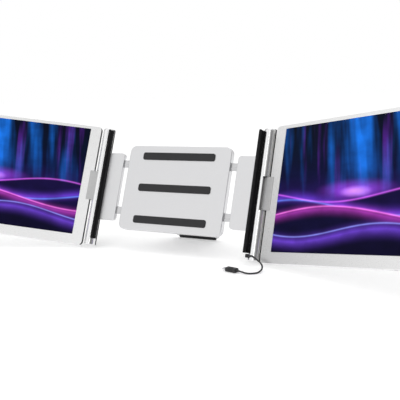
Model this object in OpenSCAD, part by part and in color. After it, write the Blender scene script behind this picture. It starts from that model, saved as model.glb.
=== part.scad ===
// Laptop screen extender: two screens swing on round columns that grip the sides of a laptop's lid.
// Millimetres. +X to the viewer's right, +Y away from the viewer, +Z up. The origin is the middle of
// the rubber pads that the back of the lid rests on. The part leans back with the lid.
// "Lid frame" below: x across, y back through the lid, z up along the lid, turned by lid_lean.

/* [Stance] */
// Lean of the laptop lid and so of the columns, from upright
lid_lean = 23.7; // [18:0.1:28]
// Swing of both screens towards the viewer at rest
swing = 22; // [5:1:34]
// Gap between the desk and the lowest corner of the columns
desk_gap = 0; // [0:0.1:2]

/* [Screens] */
// Width of one screen housing
panel_w = 365; // [340:1:380]
// Height of one screen housing
panel_h = 236; // [230:1:250]
// Thickness of the bezel, from its face to the seam with the back cover
bezel_d = 7; // [6.6:0.1:9]
// Thickness of the back cover
cover_t = 2; // [1.6:0.1:3]
// Corner radius of the housing
panel_r = 8; // [4:0.5:12]
// Wall of the bezel
bezel_wall = 1.6; // [1.2:0.1:2]
// Thickness of the bezel's front lip
lip_t = 0.8; // [0.5:0.1:1.2]
// Bezel between the hinge side and the picture
side_bezel = 22; // [20:0.5:26]
// Bezel above the picture
top_bezel = 6.5; // [6:0.5:10]
// Bezel below the picture
chin = 19.5; // [18:0.5:22]
// Bezel at the free end
end_bezel = 7; // [6.5:0.5:12]
// How far the display reaches under the lip
lap = 2.5; // [1:0.5:3]
// Thickness of the display glass and cell
display_t = 2.4; // [1.8:0.1:2.6]
// Thickness of the backlight tray
backlight_t = 2; // [1.4:0.1:2.2]
// Skin of the back cover between its rims
cover_skin = 1; // [0.8:0.1:1.4]

/* [Columns] */
// Distance between the two column axes at rest
col_spread = 339.6; // [336:0.4:350]
// Distance from the pads back to the column axes
col_back = 10.3; // [9.8:0.1:11]
// Outer diameter of a column
col_d = 22; // [21:0.5:24]
// Wall of a column tube
col_wall = 2.2; // [1.6:0.1:2.4]
// How much less high a column with its caps is than a housing
col_short = 6; // [0:1:12]
// Height of the top cap
top_cap_h = 4; // [4:0.5:8]
// Height of the bottom cap
foot_cap_h = 11; // [10:0.5:14]
// Depth of the caps' plugs in the tube
cap_plug = 6; // [4:0.5:10]
// Thickness of the dark cover round the back of a column
back_t = 0.5; // [0.4:0.1:0.8]

/* [Screen hinges] */
// Hinge axis outward of the column axis
axis_out = 5; // [4.6:0.1:5.2]
// Hinge axis behind the column axis
axis_back = 1.85; // [1.5:0.05:2.2]
// Distance from the hinge axis to the housing's side
hinge_gap = 11.5; // [11.2:0.1:13]
// Housing face in front of the hinge axis
face_out = 5; // [4.6:0.1:5.4]
// Height of the knuckle
knuckle_h = 57; // [48:1:66]
// Radius of the knuckle's barrel
barrel_r = 6.5; // [6.3:0.1:6.7]
// Back of the knuckle's leaf behind the hinge axis
leaf_back = 2.9; // [2.4:0.1:3]
// Lap of the knuckle over the bezel
knuckle_lap = 8; // [6:0.5:10]
// Radius of the hinge pin
pin_r = 2.5; // [2:0.1:2.8]
// Thickness of the friction washers
washer_t = 0.7; // [0.5:0.1:1.2]
// Height of the hinge blocks in the column
block_h = 20; // [16:1:26]
// Thickness of the knuckle's tongue in the housing
tongue_t = 3; // [2.4:0.1:3.2]

/* [Lid grips] */
// Width of the slot that takes the edge of the lid
slot_w = 5.6; // [4.6:0.1:7]
// Depth of the slot
slot_depth = 2.4; // [2:0.1:3.2]
// Thickness of the rubber lining
liner_t = 0.5; // [0.3:0.1:0.6]
// Wall of the grip channel
grip_wall = 0.9; // [0.8:0.1:1.1]
// How far a grip stops short of the column's caps
grip_inset = 1; // [0.5:0.5:10]

/* [Arms] */
// Width of an arm plate, from its free end to the column axis
arm_w = 50.8; // [49.6:0.4:58]
// Height of an arm plate
arm_h = 130; // [126:1:150]
// Thickness of an arm plate
arm_t = 8; // [7.6:0.1:8.2]
// Height of a rail
rail_h = 14; // [10:1:16]
// Thickness of a rail
rail_t = 3; // [2:0.1:3.4]
// Distance between the middles of an arm's two rails
rail_spread = 90; // [80:1:94]
// Length of a rail inside the middle housing and beyond, from the arm plate's end
rail_reach = 89; // [80:1:92]

/* [Middle housing] */
// Width of the middle housing
mid_w = 212; // [200:1:214]
// Height of the middle housing
mid_h = 160; // [154:1:180]
// Corner radius of the middle housing
mid_r = 12; // [6:1:16]
// Wall of the middle housing
mid_wall = 2; // [1.6:0.1:2.4]
// Depth of the space inside the middle housing
mid_room = 8.2; // [8:0.1:9]
// Thickness of the lid pads
pad_t = 1.5; // [1:0.1:1.6]
// Length of a lid pad
pad_w = 150; // [100:5:180]
// Height of a lid pad
pad_h = 14; // [8:1:20]
// Length of a rail guide
guide_len = 30; // [20:1:32]

/* [Stand] */
// Height of the stand's hinge above the middle
stand_up = 32; // [28:1:36]
// Angle of the opened stand from the middle housing
stand_open = 45.6; // [40:0.1:56]
// Width of the stand plate
stand_w = 100; // [80:1:110]
// Thickness of the stand plate
stand_t = 2.5; // [2:0.1:3]
// Radius of the rubber foot
foot_r = 3.5; // [3:0.1:4]
// Radius of the stand's barrel
stand_barrel_r = 4; // [3.5:0.1:4.5]
// Radius of the stand's pin
stand_pin_r = 2; // [1.6:0.1:2.4]
// Radius of the stand plate's corners
stand_corner_r = 10; // [6:1:16]

/* [Cable] */
// Diameter of the data cable
cable_d = 2.8; // [2.4:0.1:3.2]
// Length of the plug's grip
plug_len = 20; // [16:1:24]
// Width of the plug's grip
plug_w = 11.5; // [10:0.5:13]
// Height of the plug's grip
plug_h = 7; // [6:0.5:8]

/* [Hidden] */
$fn = 64;

LEFT = -1;
RIGHT = 1;
EPS = 0.01;

// Clearances
run_fit = 0.05;         // radial, a pin that turns in its bore
push_fit = 0.02;        // radial, a pin pushed into its seat
slide_fit = 0.15;       // a rail in its guide
slip = 0.1;             // a plug in its tube, a screw in its hole
axial_play = 0.05;      // beside a washer
lift = 0.05;            // the knuckle's lap over the bezel, a button's flange under its wall

// Lid frame places
col_x = col_spread / 2;
col_r = col_d / 2;
bore_r = col_r - col_wall;
axis_x = col_x + axis_out;
axis_y = col_back + axis_back;
panel_t = bezel_d + cover_t;
col_h = panel_h - col_short;
top_cap_rim = 0.5;      // straight rim below the top cap's round edge
foot_cap_r = 1;         // round edge of the bottom cap
desk_z = -(col_back + col_r) * sin(lid_lean) - col_h / 2 * cos(lid_lean) - desk_gap;

// Knuckle window in the column
window_h = knuckle_h + 2 * (washer_t + 2 * axial_play);
window_front = 1.6;     // the tube's cut edge outward of the column axis, front and back
window_back = 0.4;
knuckle_edge_r = 1.4;
tongue_h = 40;
tongue_len = 17.5;
pin_floor = 2.5;        // solid block beyond the pin's end
pin_h = window_h + 2 * (block_h - pin_floor);
washer_r = 5.2;
knuckle_screw_x = 10;
knuckle_screw_z = 12;
mark_places = [9, 15];  // two small blind holes near the left knuckle's lower end
mark_up = 3.2;
mark_r = 0.7;
mark_depth = 0.6;
back_turn = 14;         // how far the back cover reaches forward on the outer side

// Small screws: shank radius, head radius, head height
screw_r = 0.85;
screw_head_r = 1.9;
screw_head_h = 1.1;
boss_r = 3;

// Display stack, in the screen's own frame (x out from the hinge axis, y back, z up)
face_y = -face_out;
seam_y = face_y + bezel_d;
back_y = seam_y + cover_t;
window_x0 = hinge_gap + side_bezel;
window_x1 = hinge_gap + panel_w - end_bezel;
window_z0 = -panel_h / 2 + chin;
window_z1 = panel_h / 2 - top_bezel;
display_y = face_y + lip_t;
backlight_y = display_y + display_t;
board_gap = 0.2;
board_y = backlight_y + backlight_t + board_gap;
board_t = 1.2;
board_w = 96;
board_h = 28;
board_end = 37;         // from the board to the free end
board_x1 = hinge_gap + panel_w - board_end;
board_x0 = board_x1 - board_w;
socket_len = 8;
board_z0 = -panel_h / 2 + socket_len + slip;
cover_rim = 3.5;
rear_pad_t = 1;
rear_pad_r = 5;
rear_pad_inset = 30;

// Cover screws: two beside the hinge, three along the bottom edge, one of them past each end of the board
screw_inset = 12;
screw_edge = 9;
screw_corner = 23;
screw_reach = 95;       // from the hinge side to the third one
screw_blind = 0.4;      // front lip left under a blind screw hole
cover_screw_len = 4;    // in the bezel's boss
cover_screw_places = [
    [hinge_gap + screw_inset, panel_h / 2 - screw_corner],
    [hinge_gap + screw_inset, -panel_h / 2 + screw_corner],
    [hinge_gap + screw_reach, -panel_h / 2 + screw_edge],
    [board_x0 - 2 * boss_r, -panel_h / 2 + screw_edge],
    [board_x1 + 2 * boss_r, -panel_h / 2 + screw_edge]
];

// Button and socket in the bottom edge
button_inset = 20;      // from the board's ends
socket_inset = 24;
button_x = board_x1 - button_inset;
socket_x = board_x0 + socket_inset;
button_w = 10;
button_t = 2.8;
button_proud = 0.8;
button_travel = 0.5;
button_flange = 1.2;
button_flange_t = 0.9;
button_flange_y = 0.4;
button_gap = 0.12;
switch_w = 6;
switch_gap = 0.15;
socket_w = 8.9;
socket_t = 3.2;
socket_wall = 0.35;
socket_set = 0.2;
socket_floor = 1;

// Grip channel, measured from the column axis
slot_off = 0.6;         // the slot's bottom beyond the column's inner side
liner_x = -col_r - slot_off;
web_x = liner_x + liner_t;
grip_x1 = web_x + grip_wall;
front_mouth_x = liner_x - slot_depth;
seat_reach = 3.4;       // the seat behind the lid beyond the channel's front wall
seat_t = 1.3;
back_mouth_x = front_mouth_x - seat_reach;
grip_front_y = -slot_w - liner_t - grip_wall;
grip_seat_y = pad_t + seat_t;
seat_x1 = -sqrt(pow(col_r, 2) - pow(col_back - grip_seat_y, 2));
grip_z0 = -col_h / 2 + foot_cap_h + grip_inset;
grip_z1 = col_h / 2 - top_cap_h - grip_inset;
grip_h = grip_z1 - grip_z0;

// Arms and rails
arm_gap = 0.2;
arm_y0 = grip_seat_y + arm_gap;
arm_y1 = arm_y0 + arm_t;
arm_x0 = col_x - arm_w;
arm_r = 6;
rail_set = 0.5;         // behind the arm plate's middle
rail_y = arm_y0 + arm_t / 2 + rail_set;
rail_seat = 33;
rail_hold = [9, 25];
rail_screw_r = 1.2;
rail_head_r = 2.5;
rail_head_h = 1.2;
rail_screw_up = 0.3;    // its end behind the rail's front
rail_stop_t = 1;
rail_stop_len = 5;
bolt_r = 1.3;
bolt_head_r = 2.2;
bolt_head_h = 1.6;
bolt_len = 12;
bolt_inset = 3.2;
bolt_off = 13;          // from the rail
bolt_y = arm_y1 - bolt_inset;
bolt_z = rail_spread / 2 + bolt_off;

// Middle housing
mid_y0 = pad_t;
mid_y1 = mid_y0 + mid_wall + mid_room;
mid_y2 = mid_y1 + mid_wall;
mid_screw_side = 16;
mid_screw_end = 11;
mid_screw_x = mid_w / 2 - mid_screw_side;
mid_screw_z = mid_h / 2 - mid_screw_end;
mid_screw_len = 6;      // in the front cover's boss
mid_boss_r = 3.6;
mid_screw_r = 1.1;
mid_head_r = 2.7;
mid_head_h = 1.2;
guide_wall = 3.5;
pad_spread = 60;
pad_r = 4;

// Stand
bracket_t = 1.5;
bracket_h = 18;
barrel_gap = 0.4;
stand_y = mid_y2 + bracket_t + stand_barrel_r + barrel_gap;
ear_t = 3;
ear_gap = 0.3;
ear_rim = 0.6;
ear_r = stand_barrel_r + ear_rim;
barrel_over = 3;        // beyond the plate's side
barrel_half = stand_w / 2 + barrel_over;
bracket_over = 3;       // beyond the ears
bracket_r = 3;
stand_pivot_z = -stand_y * sin(lid_lean) + stand_up * cos(lid_lean);
stand_len = (stand_pivot_z - desk_z - foot_r) / cos(stand_open - lid_lean);
foot_w = stand_w - 2 * stand_corner_r;

// Cable: where it leaves the right column's foot cap, and its route over the desk to the plug.
// Route points are x and y from the sleeve's end, and the height above the desk.
cable_r = cable_d / 2;
gland_turn = 40;        // round the column from its front towards the lid
gland_aim = -30;        // heading of its sleeve from +X, in the lid frame
gland_up = 7;
gland_z = -col_h / 2 + gland_up;
gland_h = 6;
gland_r = 3;
gland_off = 2.4;
gland_out = col_r + gland_off;
sleeve_r = 2.3;
sleeve_rim = 0.2;
sleeve_len = 8;
gland_x = col_x - gland_out * sin(gland_turn);
gland_y = col_back - gland_out * cos(gland_turn);
cable_route = [
    [4.3, -1.7, 17.2], [8.4, -4.4, 16.7], [12.7, -7.4, 15.8], [17.1, -10.6, 14.5],
    [21.7, -13.6, 13], [26.3, -16.6, 11], [29.9, -20.2, 8.8], [32.1, -24.6, 6.4],
    [32.5, -29.6, 4.1], [31.1, -34.6, 2.4], [27.9, -39.2, 1.5], [23.3, -43, 1.4],
    [17.9, -45.3, 1.4], [11.9, -46.2, 1.9], [5.9, -45.7, 2.9], [-0.1, -44.6, 3.5]
];
cable_sides = 8;
plug_turn = 168;        // heading of the plug, from +X
plug_neck = 4;
plug_neck_r = 2.5;
neck_rim = 0.3;
plug_corner_r = 2.6;
shell_w = 8.3;
shell_t = 2.4;
shell_len = 6.6;
shell_wall = 0.35;
shell_floor = 1;

// ---- frames ----
module lid_frame() { rotate([-lid_lean, 0, 0]) children(); }

module side_frame(side) {
    lid_frame() mirror([side == LEFT ? 1 : 0, 0, 0]) children();
}

module column_frame(side) {
    side_frame(side) translate([col_x, col_back, 0]) children();
}

module screen_frame(side) {
    side_frame(side) translate([axis_x, axis_y, 0]) rotate([0, 0, -swing]) children();
}

module stand_frame() {
    lid_frame() translate([0, stand_y, stand_up]) rotate([stand_open, 0, 0]) children();
}

// ---- shapes ----
// Rounded rectangle from corner to corner
module rounded_area(x0, y0, x1, y1, r) {
    union() {
        translate([x0 + r, y0]) square([x1 - x0 - 2 * r, y1 - y0]);
        translate([x0, y0 + r]) square([x1 - x0, y1 - y0 - 2 * r]);
        for (x = [x0 + r, x1 - r], y = [y0 + r, y1 - r]) translate([x, y]) circle(r);
    }
}

// Slab of an outline drawn across x and z, from y0 back to y1
module slab(y0, y1) {
    translate([0, y1, 0]) rotate([90, 0, 0]) linear_extrude(y1 - y0) children();
}

module panel_outline(inset = 0) {
    rounded_area(hinge_gap + inset, -panel_h / 2 + inset, hinge_gap + panel_w - inset,
        panel_h / 2 - inset, panel_r - inset);
}

module mid_outline(inset = 0) {
    rounded_area(-mid_w / 2 + inset, -mid_h / 2 + inset, mid_w / 2 - inset, mid_h / 2 - inset, mid_r - inset);
}

// Cylinder along y from y0 back to y1
module bar_y(x, z, r, y0, y1) {
    translate([x, y1, z]) rotate([90, 0, 0]) cylinder(h = y1 - y0, r = r);
}

// Cylinder along x from x0 to x1
module bar_x(y, z, r, x0, x1) {
    translate([x0, y, z]) rotate([0, 90, 0]) cylinder(h = x1 - x0, r = r);
}

module box_between(low, high) { translate(low) cube(high - low); }

// Flat-sided oval outline, w long and t high
module oval(w, t) {
    union() {
        square([w - t, t], center = true);
        for (x = [-1, 1]) translate([x * (w - t) / 2, 0]) circle(t / 2);
    }
}

// ---- middle housing ----
module mid_front_cover() {
    color("gainsboro") lid_frame() difference() {
        union() {
            difference() {
                slab(mid_y0, mid_y1) mid_outline();
                slab(mid_y0 + mid_wall, mid_y1 + EPS) mid_outline(mid_wall);
            }
            for (x = [-mid_screw_x, mid_screw_x], z = [-mid_screw_z, mid_screw_z])
                bar_y(x, z, mid_boss_r, mid_y0 + mid_wall - EPS, mid_y1);
        }
        for (x = [-mid_screw_x, mid_screw_x], z = [-mid_screw_z, mid_screw_z])
            bar_y(x, z, mid_screw_r, mid_y0 + mid_wall, mid_y1 + EPS);
        for (side = [LEFT, RIGHT], z = [-rail_spread / 2, rail_spread / 2])
            rail_slot(side * (mid_w / 2 - mid_wall / 2), z, mid_wall + 2 * EPS, 2 * slide_fit);
    }
}

// Space for a rail at height z, len long about x, with clearance c on every side
module rail_slot(x, z, len, c) {
    translate([x, rail_y, z]) cube([len, rail_t + 2 * c, rail_h + 2 * c], center = true);
}

module mid_back_cover() {
    color("gainsboro") lid_frame() difference() {
        slab(mid_y1, mid_y2) mid_outline();
        for (x = [-mid_screw_x, mid_screw_x], z = [-mid_screw_z, mid_screw_z]) {
            bar_y(x, z, mid_screw_r + slip, mid_y1 - EPS, mid_y2);
            bar_y(x, z, mid_head_r + slip, mid_y2 - mid_head_h, mid_y2 + EPS);
        }
    }
}

module mid_screws() {
    color("dimgray") lid_frame()
        for (x = [-mid_screw_x, mid_screw_x], z = [-mid_screw_z, mid_screw_z]) {
            bar_y(x, z, mid_screw_r - push_fit, mid_y1 - mid_screw_len, mid_y2 - mid_head_h);
            bar_y(x, z, mid_head_r, mid_y2 - mid_head_h, mid_y2);
        }
}

module lid_pads() {
    color("dimgray") lid_frame() for (z = [-pad_spread, 0, pad_spread])
        slab(0, pad_t) rounded_area(-pad_w / 2, z - pad_h / 2, pad_w / 2, z + pad_h / 2, pad_r);
}

module rail_guides() {
    guide_x1 = mid_w / 2 - mid_wall;
    color("whitesmoke") lid_frame() for (side = [LEFT, RIGHT], z = [-rail_spread / 2, rail_spread / 2])
        difference() {
            translate([side * (guide_x1 - guide_len / 2), mid_y0 + mid_wall + mid_room / 2, z])
                cube([guide_len, mid_room, rail_h + 2 * guide_wall], center = true);
            rail_slot(side * (guide_x1 - guide_len / 2), z, guide_len + 2 * EPS, slide_fit);
        }
}

// ---- stand ----
module stand_bracket() {
    bracket_half = barrel_half + ear_t + bracket_over;
    color("silver") lid_frame() difference() {
        union() {
            slab(mid_y2, mid_y2 + bracket_t)
                rounded_area(-bracket_half, stand_up - bracket_h / 2, bracket_half,
                    stand_up + bracket_h / 2, bracket_r);
            for (side = [LEFT, RIGHT]) {
                ear_x = side * (barrel_half + ear_gap + ear_t / 2);
                bar_x(stand_y, stand_up, ear_r, ear_x - ear_t / 2, ear_x + ear_t / 2);
                box_between([ear_x - ear_t / 2, mid_y2, stand_up - ear_r],
                    [ear_x + ear_t / 2, stand_y, stand_up + ear_r]);
            }
        }
        bar_x(stand_y, stand_up, stand_pin_r + push_fit, -barrel_half - ear_t - 1, barrel_half + ear_t + 1);
    }
}

module stand_pin() {
    color("silver") lid_frame()
        bar_x(stand_y, stand_up, stand_pin_r, -barrel_half - ear_gap - ear_t, barrel_half + ear_gap + ear_t);
}

module stand_plate() {
    color("silver") stand_frame() difference() {
        union() {
            bar_x(0, 0, stand_barrel_r, -barrel_half, barrel_half);
            slab(-stand_t / 2, stand_t / 2) union() {
                rounded_area(-stand_w / 2, -stand_len, stand_w / 2, -stand_len / 2, stand_corner_r);
                translate([-stand_w / 2, -stand_len / 2 - EPS]) square([stand_w, stand_len / 2]);
            }
        }
        bar_x(0, 0, stand_pin_r + run_fit, -barrel_half - 1, barrel_half + 1);
    }
}

module stand_foot() {
    color("dimgray") stand_frame() difference() {
        bar_x(0, -stand_len, foot_r, -foot_w / 2, foot_w / 2);
        box_between([-foot_w / 2 - 1, -stand_t / 2, -stand_len],
            [foot_w / 2 + 1, stand_t / 2, -stand_len + foot_r + 1]);
    }
}

// ---- arms ----
module arm_plate(side) {
    color("gainsboro") side_frame(side) difference() {
        slab(arm_y0, arm_y1) rounded_area(arm_x0, -arm_h / 2, col_x, arm_h / 2, arm_r);
        translate([col_x, col_back, -arm_h / 2 - 1]) cylinder(h = arm_h + 2, r = col_r);
        for (z = [-rail_spread / 2, rail_spread / 2]) {
            rail_slot(arm_x0 + rail_seat / 2, z, rail_seat + 2 * EPS, slip / 2);
            for (x = rail_hold) {
                bar_y(arm_x0 + x, z, rail_screw_r + slip, rail_y, arm_y1);
                bar_y(arm_x0 + x, z, rail_head_r + slip, arm_y1 - rail_head_h, arm_y1 + EPS);
            }
        }
        for (z = [-bolt_z, bolt_z]) bar_x(bolt_y, z, bolt_r + push_fit, col_x - bore_r - bolt_len - 1, col_x);
    }
}

module rails(side) {
    color("silver") side_frame(side) for (z = [-rail_spread / 2, rail_spread / 2]) difference() {
        union() {
            rail_slot(arm_x0 + (rail_seat - rail_reach) / 2, z, rail_seat + rail_reach, 0);
            translate([arm_x0 - rail_reach + rail_stop_len / 2, rail_y, z])
                cube([rail_stop_len, rail_t + 2 * rail_stop_t, rail_h], center = true);
        }
        for (x = rail_hold) bar_y(arm_x0 + x, z, rail_screw_r + push_fit, rail_y - rail_t, rail_y + rail_t);
    }
}

// Screws in the rails, and bolts from inside the tube into the arm plate
module arm_screws(side) {
    seat_x = col_x - sqrt(bore_r * bore_r - pow(abs(bolt_y - col_back) + bolt_head_r, 2));
    color("dimgray") side_frame(side) {
        for (z = [-rail_spread / 2, rail_spread / 2], x = rail_hold) {
            bar_y(arm_x0 + x, z, rail_screw_r, rail_y - rail_t / 2 + rail_screw_up, arm_y1 - rail_head_h);
            bar_y(arm_x0 + x, z, rail_head_r, arm_y1 - rail_head_h, arm_y1);
        }
        for (z = [-bolt_z, bolt_z]) {
            bar_x(bolt_y, z, bolt_r, seat_x - bolt_len, seat_x);
            bar_x(bolt_y, z, bolt_head_r, seat_x, seat_x + bolt_head_h);
        }
    }
}

// ---- columns ----
// Opening for the knuckle in the tube and its back cover
module window_space() {
    box_between([window_front, -col_r - 1, -window_h / 2], [col_r + 1, EPS, window_h / 2]);
    box_between([window_back, 0, -window_h / 2], [col_r + 1, col_r + 1, window_h / 2]);
}

module column(side) {
    tube_z0 = -col_h / 2 + foot_cap_h;
    tube_z1 = col_h / 2 - top_cap_h;
    color("silver") difference() {
        column_frame(side) difference() {
            translate([0, 0, tube_z0]) cylinder(h = tube_z1 - tube_z0, r = col_r);
            translate([0, 0, tube_z0 - 1]) cylinder(h = tube_z1 - tube_z0 + 2, r = bore_r);
            window_space();
        }
        side_frame(side) for (z = [-bolt_z, bolt_z])
            bar_x(bolt_y, z, bolt_r + slip, col_x - col_r - 1, col_x - 1);
    }
}

module top_cap(side) {
    corner = top_cap_h - top_cap_rim;
    color("silver") column_frame(side) translate([0, 0, col_h / 2 - top_cap_h]) union() {
        rotate_extrude() union() {
            square([col_r - corner, top_cap_h]);
            square([col_r, top_cap_h - corner]);
            intersection() {
                translate([col_r - corner, top_cap_h - corner]) circle(corner);
                square([col_r, top_cap_h]);
            }
        }
        translate([0, 0, -cap_plug]) cylinder(h = cap_plug + EPS, r = bore_r - slip);
    }
}

// Half section of a column with its caps, grown by grow, from height z0 up to z1
module column_section(grow, z0, z1) {
    corner = top_cap_h - top_cap_rim;
    corner_z = col_h / 2 - corner;
    intersection() {
        union() {
            translate([0, z0]) square([col_r + grow, corner_z - z0]);
            translate([0, corner_z]) square([col_r - corner, corner + grow]);
            translate([col_r - corner, corner_z]) circle(corner + grow);
        }
        translate([0, z0]) square([col_r + grow, z1 - z0]);
    }
}

module column_back(side) {
    z0 = -col_h / 2 + foot_cap_r;
    z1 = col_h / 2;
    color("darkslategray") column_frame(side) difference() {
        rotate_extrude() difference() {
            column_section(slip + back_t, z0, z1);
            column_section(slip, z0 - 1, z1 + 1);
        }
        rotate([0, 0, -back_turn]) box_between([-2 * col_r, -2 * col_r, -col_h], [2 * col_r, 0, col_h]);
        window_space();
    }
}

module foot_cap(side) {
    color("silver") column_frame(side) translate([0, 0, -col_h / 2]) union() {
        rotate_extrude() union() {
            square([col_r - foot_cap_r, foot_cap_h]);
            translate([0, foot_cap_r]) square([col_r, foot_cap_h - foot_cap_r]);
            intersection() {
                translate([col_r - foot_cap_r, foot_cap_r]) circle(foot_cap_r);
                square([col_r, foot_cap_h]);
            }
        }
        translate([0, 0, foot_cap_h - EPS]) cylinder(h = cap_plug + EPS, r = bore_r - slip);
    }
}

// ---- lid grips ----
module grip(side) {
    color("darkslategray") column_frame(side) translate([0, -col_back, grip_z0]) difference() {
        linear_extrude(grip_h) union() {
            translate([front_mouth_x, grip_front_y]) square([grip_x1 - front_mouth_x, grip_wall]);
            translate([web_x, grip_front_y]) square([grip_wall, grip_seat_y - grip_front_y]);
            translate([back_mouth_x, liner_t]) square([seat_x1 - back_mouth_x, grip_seat_y - liner_t]);
        }
        translate([0, col_back, -1]) cylinder(h = grip_h + 2, r = col_r);
    }
}

module grip_liner(side) {
    color("dimgray") column_frame(side) translate([0, -col_back, grip_z0]) linear_extrude(grip_h)
        difference() {
            union() {
                translate([front_mouth_x, -slot_w - liner_t])
                    square([web_x - front_mouth_x, slot_w + 2 * liner_t]);
                translate([back_mouth_x, 0]) square([web_x - back_mouth_x, liner_t]);
            }
            translate([back_mouth_x - 1, -slot_w]) square([liner_x - back_mouth_x + 1, slot_w]);
        }
}

// ---- screen hinges ----
module hinge_blocks(side) {
    color("silver") column_frame(side) for (end = [-1, 1]) difference() {
        translate([0, 0, end * (window_h + block_h) / 2])
            cylinder(h = block_h, r = bore_r - push_fit, center = true);
        translate([axis_out, axis_back, end * (pin_h + 1) / 4])
            cylinder(h = (pin_h + 1) / 2, r = pin_r + push_fit, center = true);
    }
}

module hinge_pin(side) {
    color("silver") column_frame(side) translate([axis_out, axis_back, 0])
        cylinder(h = pin_h, r = pin_r, center = true);
}

module washers(side) {
    color("dimgray") column_frame(side) translate([axis_out, axis_back, 0]) for (end = [-1, 1])
        translate([0, 0, end * (knuckle_h / 2 + axial_play + washer_t / 2)]) difference() {
            cylinder(h = washer_t, r = washer_r, center = true);
            cylinder(h = washer_t + 1, r = pin_r + run_fit, center = true);
        }
}

module knuckle(side) {
    lap_x = hinge_gap + knuckle_lap;
    color("darkgray") screen_frame(side) difference() {
        union() {
            cylinder(h = knuckle_h, r = barrel_r, center = true);
            box_between([0, -barrel_r, -knuckle_h / 2], [hinge_gap - lift, leaf_back, knuckle_h / 2]);
            box_between([hinge_gap - lift - EPS, -barrel_r, -knuckle_h / 2],
                [lap_x - knuckle_edge_r, -face_out - lift, knuckle_h / 2]);
            intersection() {
                translate([lap_x - knuckle_edge_r, -barrel_r + knuckle_edge_r, 0])
                    cylinder(h = knuckle_h, r = knuckle_edge_r, center = true);
                box_between([hinge_gap, -barrel_r - 1, -knuckle_h / 2],
                    [lap_x + 1, -face_out - lift, knuckle_h / 2]);
            }
            box_between([hinge_gap - lift - EPS, -tongue_t / 2, -tongue_h / 2],
                [hinge_gap + tongue_len, tongue_t / 2, tongue_h / 2]);
        }
        cylinder(h = knuckle_h + 2, r = pin_r + run_fit, center = true);
        for (z = [-knuckle_screw_z, knuckle_screw_z])
            bar_y(hinge_gap + knuckle_screw_x, z, screw_r + slip, -tongue_t, tongue_t);
        if (side == LEFT) for (x = mark_places)
            bar_y(x, -knuckle_h / 2 + mark_up, mark_r, -barrel_r - 1, -barrel_r + mark_depth);
    }
}

module knuckle_screws(side) {
    color("dimgray") screen_frame(side) for (z = [-knuckle_screw_z, knuckle_screw_z]) {
        bar_y(hinge_gap + knuckle_screw_x, z, screw_r, display_y + screw_blind, tongue_t / 2);
        bar_y(hinge_gap + knuckle_screw_x, z, screw_head_r, tongue_t / 2, tongue_t / 2 + screw_head_h);
    }
}

// ---- screens ----
module bezel(side) {
    color("gainsboro") screen_frame(side) difference() {
        union() {
            difference() {
                slab(face_y, seam_y) panel_outline();
                slab(display_y, seam_y + EPS) panel_outline(bezel_wall);
                slab(face_y - EPS, display_y + EPS) translate([window_x0, window_z0])
                    square([window_x1 - window_x0, window_z1 - window_z0]);
            }
            for (p = cover_screw_places) bar_y(p.x, p.y, boss_r, display_y - EPS, seam_y);
            for (z = [-knuckle_screw_z, knuckle_screw_z])
                bar_y(hinge_gap + knuckle_screw_x, z, boss_r, display_y - EPS, -tongue_t / 2);
        }
        for (p = cover_screw_places) bar_y(p.x, p.y, screw_r + push_fit, display_y + screw_blind, seam_y + 1);
        for (z = [-knuckle_screw_z, knuckle_screw_z])
            bar_y(hinge_gap + knuckle_screw_x, z, screw_r + push_fit, display_y + screw_blind, 0);
        // side opening for the knuckle's tongue
        box_between([hinge_gap - 1, -tongue_t / 2 - slip, -tongue_h / 2 - slip],
            [hinge_gap + bezel_wall + 1, tongue_t / 2 + slip, tongue_h / 2 + slip]);
        // button and socket
        box_between([button_x - button_w / 2 - button_gap, -button_t / 2 - button_gap, -panel_h / 2 - 1],
            [button_x + button_w / 2 + button_gap, button_t / 2 + button_gap, -panel_h / 2 + bezel_wall + 1]);
        socket_body(-1, socket_len, push_fit);
    }
}

// Solid oval from z0 to z1 above the bottom edge, c larger all round
module socket_body(z0, z1, c) {
    translate([socket_x, 0, -panel_h / 2 + z0]) linear_extrude(z1 - z0)
        oval(socket_w + 2 * c, socket_t + 2 * c);
}

module back_cover(side) {
    color("silver") screen_frame(side) difference() {
        slab(seam_y, back_y) panel_outline();
        difference() {
            slab(seam_y - EPS, back_y - cover_skin) panel_outline(cover_rim);
            for (p = cover_screw_places) bar_y(p.x, p.y, boss_r, seam_y - 1, back_y);
        }
        for (p = cover_screw_places) {
            bar_y(p.x, p.y, screw_r + slip, seam_y - 1, back_y);
            bar_y(p.x, p.y, screw_head_r + slip, back_y - screw_head_h, back_y + EPS);
        }
    }
}

module cover_screws(side) {
    color("dimgray") screen_frame(side) for (p = cover_screw_places) {
        bar_y(p.x, p.y, screw_r, seam_y - cover_screw_len, back_y - screw_head_h);
        bar_y(p.x, p.y, screw_head_r, back_y - screw_head_h, back_y);
    }
}

module display(side) {
    color("midnightblue") screen_frame(side)
        box_between([window_x0 - lap, display_y, window_z0 - lap],
            [window_x1 + lap, backlight_y, window_z1 + lap]);
}

module backlight(side) {
    color("white") screen_frame(side) box_between([window_x0 - lap, backlight_y, window_z0 - lap],
        [window_x1 + lap, backlight_y + backlight_t, window_z1 + lap]);
}

// Board behind the backlight, with the switch that the button presses
module driver_board(side) {
    switch_z = -panel_h / 2 + bezel_wall + lift + button_flange_t + button_travel + switch_gap;
    color("darkgreen") screen_frame(side) union() {
        box_between([board_x0, board_y, board_z0], [board_x1, board_y + board_t, board_z0 + board_h]);
        box_between([button_x - switch_w / 2, -button_t / 2, switch_z],
            [button_x + switch_w / 2, board_y + board_t, board_z0 + 2]);
    }
}

module usb_socket(side) {
    color("silver") screen_frame(side) difference() {
        socket_body(socket_set, socket_len, 0);
        socket_body(-1, socket_len - socket_floor, -socket_wall);
    }
}

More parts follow.
